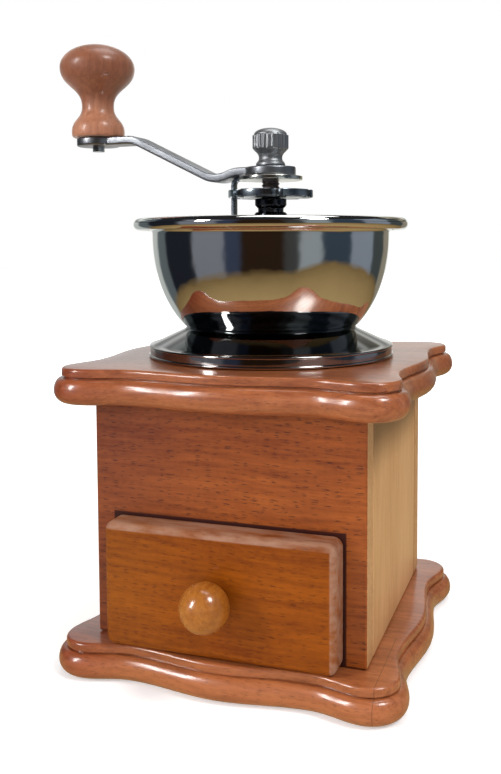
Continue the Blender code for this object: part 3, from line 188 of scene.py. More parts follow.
def normals_left(path: np.ndarray, closed: bool = False) -> np.ndarray:
    """Unit normals on the left of a path, from central differences.

    Args:
        path: The points.
        closed: Whether the last point joins the first.

    Returns:
        One normal for each point.
    """
    if closed:
        ahead = np.roll(path, -1, 0) - np.roll(path, 1, 0)
    else:
        ahead = np.gradient(path, axis=0)
    ahead /= np.linalg.norm(ahead, axis=1, keepdims=True)
    return np.column_stack((-ahead[:, 1], ahead[:, 0]))


def walled(path: np.ndarray, wall: float) -> np.ndarray:
    """The closed section of a sheet: the path out, and back at wall to its left."""
    return np.vstack((path, (path + normals_left(path) * wall)[::-1]))


def eased(
    before: np.ndarray, here: np.ndarray, after: np.ndarray, reach: float, count: int
) -> np.ndarray:
    """The quadratic curve that takes the place of a corner.

    Args:
        before: The point before the corner.
        here: The corner.
        after: The point after the corner.
        reach: How far from the corner the curve starts and ends.
        count: How many points.

    Returns:
        An array of count points.
    """
    t = np.linspace(0, 1, count)[:, None]
    start = here + (before - here) / np.linalg.norm(before - here) * reach
    end = here + (after - here) / np.linalg.norm(after - here) * reach
    return (1 - t) ** 2 * start + 2 * t * (1 - t) * here + t**2 * end


def rounded_polygon(corners: Sequence[Point], radii: Sequence[float], count: int) -> np.ndarray:
    """A closed section whose corners are eased.

    Args:
        corners: The corners in order.
        radii: The rounding of each corner.
        count: Points on each rounding.

    Returns:
        The section's points.
    """
    here = np.array(corners, float)
    before, after = np.roll(here, 1, 0), np.roll(here, -1, 0)
    return np.vstack([eased(*corner, count) for corner in zip(before, here, after, radii)])


def bar(half_width: float, half_depth: float, soft: float, count: int) -> np.ndarray:
    """A flat bar's section, with count points on each of its eased corners."""
    signs = ((1, -1), (1, 1), (-1, 1), (-1, -1))
    corners = [(x * half_width, y * half_depth) for x, y in signs]
    return rounded_polygon(corners, [soft] * len(corners), count)


def bent_line(corners: np.ndarray, reach: float, count: int) -> np.ndarray:
    """A line whose inner corners are eased.

    Args:
        corners: The line's corners.
        reach: How far from a corner its curve begins.
        count: Points on each curve.

    Returns:
        The softened line.
    """
    bends = [eased(*near, reach, count) for near in zip(corners, corners[1:], corners[2:])]
    return np.vstack([corners[:1], *bends, corners[-1:]])


def soft_head(thickness: float, soft: float, count: int = ARRIS_POINTS) -> np.ndarray:
    """The rounded upper arris of a slab's edge, as (inset, height) pairs."""
    return arc((soft, thickness - soft), soft, pi, pi / 2, count)


def soft_edge(thickness: float, soft: float) -> np.ndarray:
    """A slab's edge with both arrises rounded, as (inset, height) pairs."""
    foot = arc((soft, soft), soft, 3 * pi / 2, pi, ARRIS_POINTS)
    return joined(foot, soft_head(thickness, soft))


def evenly(path: np.ndarray, step: float, closed: bool = False) -> np.ndarray:
    """The path with points no further apart than step, kept at its own corners.

    Args:
        path: The points.
        step: The widest spacing.
        closed: Whether the last point joins the first.

    Returns:
        The denser path.
    """
    ends = np.vstack((path, path[:1])) if closed else path
    parts = []
    for start, end in zip(ends, ends[1:]):
        count = max(int(np.ceil(np.linalg.norm(end - start) / step)), 1)
        parts.append(np.linspace(start, end, count, endpoint=False))
    return np.vstack(parts if closed else [*parts, path[-1:]])


# Surfaces


def swept(radius: np.ndarray, height: np.ndarray, angle: np.ndarray) -> np.ndarray:
    """A grid of (r cos a, r sin a, z) points, with one row for each height."""
    return np.dstack((radius * np.cos(angle), radius * np.sin(angle), height + 0 * angle))


def spun(profile: np.ndarray, steps: int) -> np.ndarray:
    """A grid of revolution of shape (profile, steps, 3) from (radius, height) pairs."""
    return swept(profile[:, :1], profile[:, 1:], turns(steps))


def stacked(outline: np.ndarray, edge: np.ndarray) -> np.ndarray:
    """A grid whose rings are the outline, drawn in by each inset at each height.

    Args:
        outline: A closed outline, anticlockwise.
        edge: (inset, height) pairs.

    Returns:
        A grid of shape (edge, outline, 3).
    """
    inward = normals_left(outline, closed=True)
    flat = outline[None] + edge[:, 0, None, None] * inward[None]
    height = np.broadcast_to(edge[:, 1, None, None], (*flat.shape[:2], 1))
    return np.concatenate((flat, height), axis=2)


def faced(
    side: np.ndarray, count: int, lower: np.ndarray | float = 0.0, upper: np.ndarray | float = 0.0
) -> np.ndarray:
    """An edge's grid with both flat faces, each drawn in to a hole or to the middle.

    Args:
        side: The edge's rings, from the lower face to the upper one.
        count: New rings on each face.
        lower: The flat outline of the lower face's hole, or 0 for none.
        upper: The flat outline of the upper face's hole, or 0 for none.

    Returns:
        The whole grid.
    """
    shares = np.linspace(0, 1, count + 1)[1:, None, None]
    faces = []
    for ring, flat in ((side[0], lower), (side[-1], upper)):
        goal = ring.copy()
        goal[:, :2] = flat
        faces.append(ring + (goal - ring) * shares)
    return np.concatenate((faces[0][::-1], side, faces[1]))


def carried(line: np.ndarray, section: np.ndarray) -> np.ndarray:
    """A section carried along a line in the XZ plane, square to it.

    A section point is (across, up): across lies along Y, and up along the line's left normal.

    Args:
        line: The line's (x, z) points.
        section: The closed section.

    Returns:
        A grid of shape (line, section, 3).
    """
    normal = normals_left(line)
    x, z = (line[:, i, None] + normal[:, i, None] * section[:, 1] for i in (0, 1))
    return np.dstack((x, np.broadcast_to(section[:, 0], x.shape), z))


def linked(name: str, data: bpy.types.ID) -> bpy.types.Object:
    """A new object that shows some data in the scene."""
    obj = bpy.data.objects.new(name, data)
    bpy.context.scene.collection.objects.link(obj)
    return obj


def grid_mesh(name: str, grid: np.ndarray, looped: bool = False) -> bpy.types.Mesh:
    """A mesh whose quads join neighbours on the grid; its columns close round.

    Args:
        name: The mesh's name.
        grid: Points of shape (rows, columns, 3).
        looped: Whether the last row joins the first.

    Returns:
        The new mesh.
    """
    rows, columns = grid.shape[:2]
    index = np.arange(rows * columns).reshape(rows, columns)
    low = index if looped else index[:-1]
    following = np.roll(index, -1, 0) if looped else index[1:]
    corners = (low, np.roll(low, -1, 1), np.roll(following, -1, 1), following)
    faces = np.stack(corners, axis=2).reshape(-1, 4)
    mesh = bpy.data.meshes.new(name)
    mesh.from_pydata(grid.reshape(-1, 3).tolist(), [], faces.tolist())
    return mesh


def add_surface(name: str, grid: np.ndarray, looped: bool = False) -> bpy.types.Object:
    """Makes a shaded solid from a grid: merges its poles and turns its faces out.

    Args:
        name: The new object's name.
        grid: Points of shape (rows, columns, 3).
        looped: Whether the last row joins the first.

    Returns:
        The new object, at the origin.
    """
    mesh = grid_mesh(name, grid, looped)
    work = bmesh.new()
    work.from_mesh(mesh)
    bmesh.ops.remove_doubles(work, verts=work.verts, dist=MERGE)
    bmesh.ops.recalc_face_normals(work, faces=work.faces)
    work.to_mesh(mesh)
    work.free()
    mesh.shade_smooth()
    mesh.set_sharp_from_angle(angle=SHARP)
    return linked(name, mesh)


def capped(grid: np.ndarray) -> np.ndarray:
    """The grid with a pole at each end, so that an open tube becomes a solid."""
    poles = [np.broadcast_to(ring.mean(0), ring.shape)[None] for ring in (grid[0], grid[-1])]
    return np.concatenate((poles[0], grid, poles[1]))


def turned_about_z(grid: np.ndarray, angle: float) -> np.ndarray:
    """The grid turned about the upright axis."""
    cosine, sine = cos(angle), sin(angle)
    turn = np.array(((cosine, -sine, 0), (sine, cosine, 0), (0, 0, 1)))
    return grid @ turn.T


def laid_forward(grid: np.ndarray, y: float, z: float) -> np.ndarray:
    """The grid with its own +Z turned to -Y and its centre at (0, y, z)."""
    return np.stack((grid[..., 0], y - grid[..., 2], z + grid[..., 1]), axis=-1)


# Materials


class Nodes:
    """A node tree with short ways to add and join its nodes."""

    def __init__(self, tree: bpy.types.NodeTree) -> None:
        """Keeps the tree."""
        self.tree = tree

    def add(self, kind: str, sockets: dict | None = None, **settings) -> bpy.types.Node:
        """Adds a node, sets it up and fills or joins its inputs.

        Args:
            kind: The node's type without its ShaderNode prefix.
            sockets: Values or output sockets for its inputs.
            settings: Properties of the node.

        Returns:
            The new node.
        """
        node = self.tree.nodes.new(kind if kind.startswith("NodeGroup") else "ShaderNode" + kind)
        for name, value in settings.items():
            setattr(node, name, value)
        self.fill(node, sockets or {})
        return node

    def fill(self, node: bpy.types.Node, sockets: dict) -> None:
        """Joins outputs to a node's inputs, or sets the inputs' own values."""
        for name, value in sockets.items():
            socket = node.inputs[name]
            if isinstance(value, Socket):
                self.tree.links.new(value, socket)
            elif socket.type == "RGBA":
                socket.default_value = (*value, 1.0)
            else:
                socket.default_value = value

    def ramp(self, factor, low: float, high: float) -> Socket:
        """A smooth step of the factor between low and high."""
        sockets = {"Value": factor, "From Min": low, "From Max": high}
        return self.add("MapRange", sockets, interpolation_type="SMOOTHSTEP").outputs["Result"]

    def mix(self, factor, first, second, blend: str = "MIX") -> Socket:
        """A colour mixed from two by the factor."""
        sockets = {0: factor, 6: first, 7: second}
        return self.add("Mix", sockets, data_type="RGBA", blend_type=blend).outputs[2]

    def maths(self, operation: str, first, second=0.0) -> Socket:
        """One arithmetic step."""
        return self.add("Math", {0: first, 1: second}, operation=operation).outputs[0]

    def plus(self, first, second) -> Socket:
        """The sum of two factors."""
        return self.maths("ADD", first, second)

    def minus(self, first, second) -> Socket:
        """The first factor less the second."""
        return self.maths("SUBTRACT", first, second)

    def times(self, *factors) -> Socket:
        """The product of the factors."""
        return reduce(lambda first, second: self.maths("MULTIPLY", first, second), factors)

    def swing(self, factor, gain) -> Socket:
        """A factor of 0 to 1 turned into a swing about zero."""
        return self.times(self.minus(factor, 0.5), gain)

    def away(self, factor, place: float) -> Socket:
        """The distance of a factor from a place."""
        return self.maths("ABSOLUTE", self.minus(factor, place))

    def noise(self, vector, scale: float, detail: float = 3.0, rough: float = 0.5) -> Socket:
        """A noise factor of about 0 to 1."""
        sockets = {"Vector": vector, "Scale": scale, "Detail": detail, "Roughness": rough}
        return self.add("TexNoise", sockets).outputs["Fac"]

    def drift(self, vector, scale: float, detail: float) -> Socket:
        """A noise colour, to push vectors about with."""
        sockets = {"Vector": vector, "Scale": scale, "Detail": detail}
        return self.add("TexNoise", sockets).outputs["Color"]

    def mapped(self, vector, **sockets) -> Socket:
        """The vector through a mapping node with the given inputs."""
        return self.add("Mapping", {"Vector": vector, **sockets}).outputs["Vector"]

    def split(self, vector) -> bpy.types.bpy_prop_collection:
        """The three parts of a vector, by name."""
        return self.add("SeparateXYZ", {"Vector": vector}).outputs

    def bumped(self, height, distance: float, normal: Socket | None = None) -> Socket:
        """A normal bent by a height, on top of another normal where one is given."""
        sockets = {"Height": height, "Distance": distance}
        if normal:
            sockets["Normal"] = normal
        return self.add("Bump", sockets).outputs["Normal"]


def new_group(name: str, inputs: dict[str, str], outputs: dict[str, str]) -> Nodes:
    """Starts a shader node group with named sockets.

    Args:
        name: The group's name.
        inputs: Name to type of each input.
        outputs: Name to type of each output.

    Returns:
        The group's helper.
    """
    tree = bpy.data.node_groups.new(name, "ShaderNodeTree")
    for way, sockets in (("INPUT", inputs), ("OUTPUT", outputs)):
        for socket, kind in sockets.items():
            tree.interface.new_socket(socket, in_out=way, socket_type="NodeSocket" + kind)
    return Nodes(tree)


def principled(name: str) -> tuple[bpy.types.Material, Nodes, bpy.types.Node]:
    """A new material with its helper and its Principled shader."""
    material = bpy.data.materials.new(name)
    material.use_nodes = True
    nodes = Nodes(material.node_tree)
    return material, nodes, material.node_tree.nodes["Principled BSDF"]


@dataclass(frozen=True)
class BeechFigure:
    """The figure of varnished beech with its grain along X.

    Broad bands and fine streaks come from noise stretched along the grain, and the short
    dark flecks from stretched cells of which a random share is kept.
    """

    warp_scale: float = 9.0
    warp_reach: float = 0.01
    band_stretch: Colour = (6.0, 60.0, 60.0)
    band_gain: float = 3.0
    streak_stretch: Colour = (40.0, 620.0, 620.0)
    streak_gain: float = 2.0
    mottle_scale: float = 420.0
    mottle_gain: float = 0.6
    fleck_stretch: Colour = (280.0, 1900.0, 1900.0)
    fleck_rag_scale: float = 600.0
    fleck_fade: Point = (0.08, 0.5)
    fleck_share: Point = (0.2, 0.85)
    fine_rough: float = 0.65
    streak_relief: float = 0.4
    mottle_gloss: float = 0.12
    fleck_gloss: float = 0.15

    def build(self) -> None:
        """Builds the node group that every wooden finish uses."""
        tones = dict.fromkeys(("Light", "Dark", "Fleck"), "Color")
        inputs = {"Vector": "Vector", **tones, "Banding": "Float", "Flecks": "Float"}
        nodes = new_group(FIGURE, inputs, {"Color": "Color", "Height": "Float", "Gloss": "Float"})
        source = nodes.add("NodeGroupInput").outputs
        vector = source["Vector"]
        warp = nodes.drift(vector, self.warp_scale, 1.0)
        wobble = nodes.add("VectorMath", {0: warp, "Scale": self.warp_reach}, operation="SCALE")
        pair = {0: vector, 1: wobble.outputs[0]}
        bent = nodes.add("VectorMath", pair, operation="ADD").outputs[0]
        bands = nodes.noise(nodes.mapped(bent, Scale=self.band_stretch), 1.0, 2.0)
        along = nodes.mapped(bent, Scale=self.streak_stretch)
        streaks = nodes.noise(along, 1.0, 4.0, self.fine_rough)
        mottle = nodes.noise(vector, self.mottle_scale, 4.0, self.fine_rough)
        fleck = self.flecks(nodes, vector, bent, source["Flecks"])
        streaked = nodes.swing(streaks, self.streak_gain)
        mottled = nodes.swing(mottle, self.mottle_gain)
        banded = nodes.swing(bands, nodes.times(source["Banding"], self.band_gain))
        total = nodes.plus(nodes.plus(streaked, mottled), nodes.plus(banded, 0.5))
        clamped = nodes.add("Clamp", {"Value": total}).outputs[0]
        wood = nodes.mix(clamped, source["Dark"], source["Light"])
        dull = nodes.times(fleck, self.fleck_gloss)
        results = {
            "Color": nodes.mix(fleck, wood, source["Fleck"]),
            "Height": nodes.minus(nodes.times(streaks, self.streak_relief), fleck),
            "Gloss": nodes.plus(nodes.times(mottle, self.mottle_gloss), dull),
        }
        nodes.add("NodeGroupOutput", results)

    def flecks(self, nodes: Nodes, vector, bent, amount) -> Socket:
        """The mask of the dark flecks, with ragged outlines.

        Args:
            nodes: The group's helper.
            vector: The even vector, for the raggedness.
            bent: The warped vector, for the cells.
            amount: How strong the flecks are.

        Returns:
            The mask.
        """
        stretched = nodes.mapped(bent, Scale=self.fleck_stretch)
        rag = nodes.drift(vector, self.fleck_rag_scale, 2.0)
        ragged = nodes.add("VectorMath", {0: stretched, 1: rag}, operation="ADD").outputs[0]
        cells = nodes.add("TexVoronoi", {"Vector": ragged, "Scale": 1.0}).outputs
        dash = nodes.minus(1.0, nodes.ramp(cells["Distance"], *self.fleck_fade))
        chosen = nodes.add("SeparateColor", {"Color": cells["Color"]}).outputs["Red"]
        return nodes.times(dash, nodes.ramp(chosen, *self.fleck_share), amount)


@dataclass(frozen=True)
class HandlingMarks:
    """Marks of use on metal: cloudy smudges, and hair scratches as thin stretched noise."""

    cloud_scale: float = 70.0
    cloud_fade: Point = (0.35, 0.75)
    cloud_shade: float = 0.5
    fine_scale: float = 1400.0
    fine_relief: float = 0.3
    hair_turn: Colour = (0.4, 0.3, 0.9)
    hair_stretch: Colour = (60.0, 2600.0, 2600.0)
    hair_fade: Point = (0.66, 0.74)

    def build(self) -> None:
        """Builds the node group that every metal finish uses."""
        inputs = {"Vector": "Vector", "Smudge": "Float", "Scratch": "Float"}
        outputs = dict.fromkeys(("Roughening", "Height", "Shade"), "Float")
        nodes = new_group(HANDLING, inputs, outputs)
        source = nodes.add("NodeGroupInput").outputs
        vector = source["Vector"]
        cloud = nodes.ramp(nodes.noise(vector, self.cloud_scale, 4.0, 0.6), *self.cloud_fade)
        fine = nodes.noise(vector, self.fine_scale, 2.0)
        turned = nodes.mapped(vector, Rotation=self.hair_turn, Scale=self.hair_stretch)
        hairs = nodes.ramp(nodes.noise(turned, 1.0, 2.0), *self.hair_fade)
        scratched = nodes.times(hairs, source["Scratch"])
        results = {
            "Roughening": nodes.plus(nodes.times(cloud, source["Smudge"]), scratched),
            "Height": nodes.minus(nodes.times(fine, self.fine_relief), scratched),
            "Shade": nodes.times(cloud, self.cloud_shade),
        }
        nodes.add("NodeGroupOutput", results)


@dataclass
class Skin:
    """A wooden surface in the making, on which marks are laid.

    Attributes:
        finish: The finish that is being built.
        nodes: The material's helper.
        place: The object's own coordinates.
        tone: The colour so far.
    """

    finish: "Beech"
    nodes: Nodes
    place: Socket
    tone: Socket

    def cover(self, share, colour) -> None:
        """Lays a colour over a share of the tone."""
        self.tone = self.nodes.mix(share, self.tone, colour)


class Mark(ABC):
    """Something that changes a wooden surface's tone."""

    @abstractmethod
    def lay(self, skin: Skin) -> None:
        """Lays the mark over the skin's tone."""


@dataclass(frozen=True)
class PaintedLightDrift(Mark):
    """Painted light and shade: a tint that comes in along one axis, none at start, full at end."""

    tint: Colour
    axis: str
    start: float
    end: float

    def lay(self, skin: Skin) -> None:
        """Multiplies the tone by the tint that paints the light and shade."""
        nodes = skin.nodes
        share = nodes.ramp(nodes.split(skin.place)[self.axis], self.start, self.end)
        skin.tone = nodes.mix(share, skin.tone, self.tint, "MULTIPLY")


@dataclass(frozen=True)
class Cheek(Mark):
    """Other tones beyond a distance from the plane x = 0, where a board shows its side."""

    light: Colour
    dark: Colour
    beyond: float
    flecks: float = 0.1

    def lay(self, skin: Skin) -> None:
        """Covers the side with a second figure."""
        nodes = skin.nodes
        second = replace(skin.finish, light=self.light, dark=self.dark, flecks=self.flecks)
        colour = second.figure(nodes, skin.place).outputs["Color"]
        aside = nodes.maths("ABSOLUTE", nodes.split(skin.place)["X"])
        skin.cover(nodes.maths("GREATER_THAN", aside, self.beyond), colour)


@dataclass(frozen=True)
class GapShadow(Mark):
    """A painted shadow: a dark line on the wall round the drawer's front, as wide as the gap behind
    it.
    """

    half_width: float
    top: float
    blend: float = 0.0006
    # The painted shadow's colour.
    colour: Colour = (0.035, 0.006, 0.004)

    def lay(self, skin: Skin) -> None:
        """Paints the shadow: darkens the wall within the line's outline."""
        nodes = skin.nodes
        parts = nodes.split(skin.place)
        aside = nodes.maths("ABSOLUTE", parts["X"])
        under = nodes.ramp(parts["Z"], self.top + self.blend, self.top)
        within = nodes.ramp(aside, self.half_width + self.blend, self.half_width)
        skin.cover(nodes.times(under, within), self.colour)


@dataclass(frozen=True)
class Seams(Mark):
    """Two thin glue seams: one along Y at long_x, and one across from it at cross_y."""

    long_x: float
    cross_y: float
    cross_start: float = 0.049
    half_width: float = 0.00016
    strength: float = 0.55
    colour: Colour = (0.10, 0.03, 0.012)

    def lay(self, skin: Skin) -> None:
        """Draws both seams."""
        nodes = skin.nodes
        parts = nodes.split(skin.place)
        near = [
            nodes.maths("LESS_THAN", nodes.away(parts[axis], place), self.half_width)
            for axis, place in (("X", self.long_x), ("Y", self.cross_y))
        ]
        long = nodes.times(near[0], nodes.maths("LESS_THAN", parts["Y"], self.cross_y))
        cross = nodes.times(near[1], nodes.maths("GREATER_THAN", parts["X"], self.cross_start))
        skin.cover(nodes.times(nodes.maths("MAXIMUM", long, cross), self.strength), self.colour)


@dataclass(frozen=True)
class EdgeHighlight(Mark):
    """A painted highlight: a paler tone on a front board's eased edges, above a height and beyond
    an x.
    """

    colour: Colour
    above: float
    beyond: float
    blend: float = 0.0005
    patch_stretch: Colour = (90.0, 300.0, 300.0)
    patch_fade: Point = (0.2, 0.7)

    def lay(self, skin: Skin) -> None:
        """Paints the highlight on the edges in patches."""
        nodes = skin.nodes
        parts = nodes.split(skin.place)
        over = nodes.ramp(parts["Z"], self.above, self.above + self.blend)
        beside = nodes.ramp(parts["X"], self.beyond, self.beyond + self.blend)
        patches = nodes.noise(nodes.mapped(skin.place, Scale=self.patch_stretch), 1.0, 4.0, 0.6)
        edges = nodes.maths("MAXIMUM", over, beside)
        skin.cover(nodes.times(edges, nodes.ramp(patches, *self.patch_fade)), self.colour)


@dataclass(frozen=True)
class Beech:
    """A varnished beech finish."""

    name: str
    light: Colour
    dark: Colour
    fleck: Colour = (0.22, 0.07, 0.03)
    grain: Grain = Grain.ACROSS
    banding: float = 0.5
    flecks: float = 0.6
    roughness: float = 0.34
    coat: float = 0.35
    coat_roughness: float = 0.12
    bump: float = 0.00003
    shine: float = 0.5
    sheen: float = 0.0
    sheen_roughness: float = 0.4
    sheen_tint: Colour = (1.0, 0.8, 0.68)
    marks: tuple[Mark, ...] = ()

    def figure(self, nodes: Nodes, place) -> bpy.types.Node:
        """Adds the wood's figure in this finish's tones."""
        values = {
            "Vector": nodes.mapped(place, Rotation=self.grain.value),
            "Light": self.light,
            "Dark": self.dark,
            "Fleck": self.fleck,
            "Banding": self.banding,
            "Flecks": self.flecks,
        }
        return nodes.add("Group", values, node_tree=bpy.data.node_groups[FIGURE])

    def material(self) -> bpy.types.Material:
        """Builds the material: figure in the colour and bump, varnish as a coat."""
        material, nodes, shader = principled(self.name)
        place = nodes.add("TexCoord").outputs["Object"]
        figure = self.figure(nodes, place).outputs
        skin = Skin(self, nodes, place, figure["Color"])
        for mark in self.marks:
            mark.lay(skin)
        values = {
            "Base Color": skin.tone,
            "Specular IOR Level": self.shine,
            "Roughness": nodes.plus(figure["Gloss"], self.roughness),
            "Coat Weight": self.coat,
            "Coat Roughness": self.coat_roughness,
            "Sheen Weight": self.sheen,
            "Sheen Roughness": self.sheen_roughness,
            "Sheen Tint": self.sheen_tint,
            "Normal": nodes.bumped(figure["Height"], self.bump),
        }
        nodes.fill(shader, values)
        return material


@dataclass(frozen=True)
class Edge:
    """A brighter tone below a height, where plating is rubbed thin."""

    colour: Colour
    height: float
    blend: float


@dataclass(frozen=True)
class Metal:
    """A metal finish with smudges and hair scratches."""

    name: str
    colour: Colour
    shade: Colour
    roughness: float
    smudge: float = 0.1
    scratch: float = 0.1
    bump: float = 0.000002
    edge: Edge | None = None
    dents: float = 0.0
    dent_scale: float = 85.0

    def material(self) -> bpy.types.Material:
        """Builds the material from the shared marks of use."""
        material, nodes, shader = principled(self.name)
        place = nodes.add("TexCoord").outputs["Object"]
        values = {"Vector": place, "Smudge": self.smudge, "Scratch": self.scratch}
        marks = nodes.add("Group", values, node_tree=bpy.data.node_groups[HANDLING]).outputs
        tone = nodes.mix(marks["Shade"], self.colour, self.shade)
        if self.edge:
            low, high = self.edge.height - self.edge.blend, self.edge.height + self.edge.blend
            share = nodes.ramp(nodes.split(place)["Z"], low, high)
            tone = nodes.mix(share, self.edge.colour, tone)
        dented = None
        if self.dents:
            dented = nodes.bumped(nodes.noise(place, self.dent_scale, 2.0, 0.4), self.dents)
        values = {
            "Base Color": tone,
            "Roughness": nodes.plus(marks["Roughening"], self.roughness),
            "Metallic": 1.0,
            "Normal": nodes.bumped(marks["Height"], self.bump, dented),
        }
        nodes.fill(shader, values)
        return material


PLATE_BEECH = Beech(
    "plate_beech", (0.44, 0.138, 0.045), (0.22, 0.053, 0.016), (0.09, 0.022, 0.008),
    banding=0.55, flecks=0.55, roughness=0.26, coat=0.75, coat_roughness=0.17,
    # Painted shade: the boards darken and redden towards their left end, at -X.
    marks=(PaintedLightDrift((0.72, 0.54, 0.54), "X", -0.03, -0.058),),
)
BASE_BEECH = replace(
    # The base keeps the plate's painted shade at its left end, and adds glue seams.
    PLATE_BEECH, name="base_beech", marks=(*PLATE_BEECH.marks, Seams(0.0535, -0.022))
)
BACK_BEECH = Beech(
    "back_beech", (0.37, 0.090, 0.010), (0.19, 0.037, 0.005), (0.06, 0.012, 0.005),
    banding=0.38, flecks=0.9, coat=0.2, shine=0.3,
    marks=(Cheek((0.60, 0.33, 0.14), (0.44, 0.22, 0.085), 0.0489),),
)
FRONT_BEECH = replace(
    BACK_BEECH, name="front_beech",
    # Painted shade and reflection: the front darkens and turns bluer towards its left end. Painted
    # shadow: a dark line round the drawer's front.
    marks=(PaintedLightDrift((0.72, 0.72, 1.6), "X", 0.012, -0.046), *BACK_BEECH.marks, GapShadow(0.0418, 0.0570)),
)
SIDE_BEECH = Beech(
    "side_beech", (0.72, 0.41, 0.185), (0.55, 0.28, 0.105), (0.25, 0.11, 0.04), Grain.UPRIGHT,
    # Painted shadow: the panels darken near their top, under the top board's overhang.
    flecks=0.12, marks=(PaintedLightDrift((0.38, 0.34, 0.30), "Z", 0.070, 0.090),),
)
DRAWER_BEECH = Beech(
    "drawer_beech", (0.295, 0.070, 0.0012), (0.15, 0.028, 0.0006), (0.07, 0.014, 0.002),
    flecks=0.7, roughness=0.42, coat=0.08, shine=0.12,
    marks=(
        # Painted reflection: the drawer front turns paler and bluer towards its left end.
        PaintedLightDrift((1.0, 1.15, 4.0), "X", 0.0, -0.042),
        # Painted highlight: paler patches on the eased top and right edges.
        EdgeHighlight((0.34, 0.175, 0.11), 0.0536, 0.0388),
    ),
)
KNOB_BEECH = Beech(
    "knob_beech", (0.46, 0.185, 0.095), (0.26, 0.088, 0.038), (0.14, 0.04, 0.016), Grain.UPRIGHT,
    banding=0.4, flecks=0.15, roughness=0.45, coat=0.4, coat_roughness=0.22, sheen=0.45,
    # Painted shade: the knob turns darker and browner above a height.
    marks=(PaintedLightDrift((0.58, 0.44, 0.32), "Z", 0.203, 0.213),),
)
PULL_BEECH = Beech(
    "pull_beech", (0.42, 0.145, 0.018), (0.25, 0.068, 0.006), (0.16, 0.04, 0.01), Grain.DEEP,
    banding=0.6, flecks=0.3, roughness=0.22, coat=0.8,
)
BARE_BEECH = Beech(
    "bare_beech", (0.62, 0.42, 0.24), (0.48, 0.29, 0.15), (0.25, 0.13, 0.06),
    flecks=0.5, roughness=0.6, coat=0.0,
)
BOWL_POLISH = Metal(
    "bowl_polish", (0.82, 0.82, 0.80), (0.76, 0.75, 0.72), 0.035, 0.03, 0.02, dents=0.00022
)
FOOT_POLISH = Metal(
    "foot_polish", (0.075, 0.078, 0.08), (0.055, 0.056, 0.058), 0.05, 0.05, 0.04,
    edge=Edge((0.42, 0.40, 0.39), 0.1131, 0.0004),
)
BLACK_GLOSS = Metal("black_gloss", (0.05, 0.052, 0.06), (0.03, 0.03, 0.034), 0.1, 0.06, 0.03)
WHEEL_STEEL = Metal("wheel_steel", (0.30, 0.34, 0.37), (0.16, 0.18, 0.20), 0.20, 0.12, 0.06)
NICKEL = Metal("satin_nickel", (0.60, 0.61, 0.60), (0.45, 0.46, 0.46), 0.22, 0.15, 0.05)
ARM_STEEL = Metal("arm_steel", (0.31, 0.32, 0.34), (0.18, 0.19, 0.20), 0.34, 0.18, 0.04)
NUT_STEEL = Metal("nut_steel", (0.38, 0.39, 0.40), (0.24, 0.25, 0.255), 0.46, 0.12, 0.04)
BRIGHT_PLATE = Metal("bright_plate", (0.80, 0.79, 0.72), (0.68, 0.66, 0.58), 0.16, 0.10, 0.10)
SHAFT_STEEL = Metal("shaft_steel", (0.46, 0.38, 0.36), (0.24, 0.18, 0.17), 0.28, 0.2, 0.05)
CAST_IRON = Metal("cast_iron", (0.10, 0.10, 0.105), (0.06, 0.06, 0.06), 0.5, 0.2, 0.1, 0.00003)


class Bench:
    """Builds each finish once, places pieces on their bodies and dresses CAD nodes."""

    def __init__(self, frame: dict) -> None:
        """Keeps the frame and makes the shared node groups."""
        self.frame = frame
        self.made: dict[str, bpy.types.Material] = {}
        BeechFigure().build()
        HandlingMarks().build()

    def coat(self, obj: bpy.types.Object, finish: Beech | Metal) -> None:
        """Gives an object one finish, built at its first use."""
        if finish.name not in self.made:
            self.made[finish.name] = finish.material()
        obj.data.materials.clear()
        obj.data.materials.append(self.made[finish.name])

    def place(
        self, piece: bpy.types.Object, body: Body, slot: str, finish: Beech | Metal, *nodes: str
    ) -> None:
        """Dresses a new piece, rides it on its body and lets it stand for CAD nodes.

        Args:
            piece: The new object.
            body: The body that it rides on.
            slot: Its material slot in the record; not used.
            finish: Its finish.
            nodes: The CAD nodes that it replaces.
        """
        self.coat(piece, finish)
        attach(piece, body.value)
        if nodes:
            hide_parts(*nodes)
        LOG.info("%s rides on %s", piece.name, body.value)

    def dress(self, finish: Beech | Metal, *nodes: str) -> None:
        """Gives CAD nodes that keep their shape a finish."""
        for node in nodes:
            self.coat(self.frame["nodes"][node], finish)
            LOG.info("%s keeps its shape in %s", node, finish.name)


def span(node: str) -> Point:
    """The heights of a CAD node's lowest and highest point."""
    low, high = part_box(node)
    return low.z, high.z


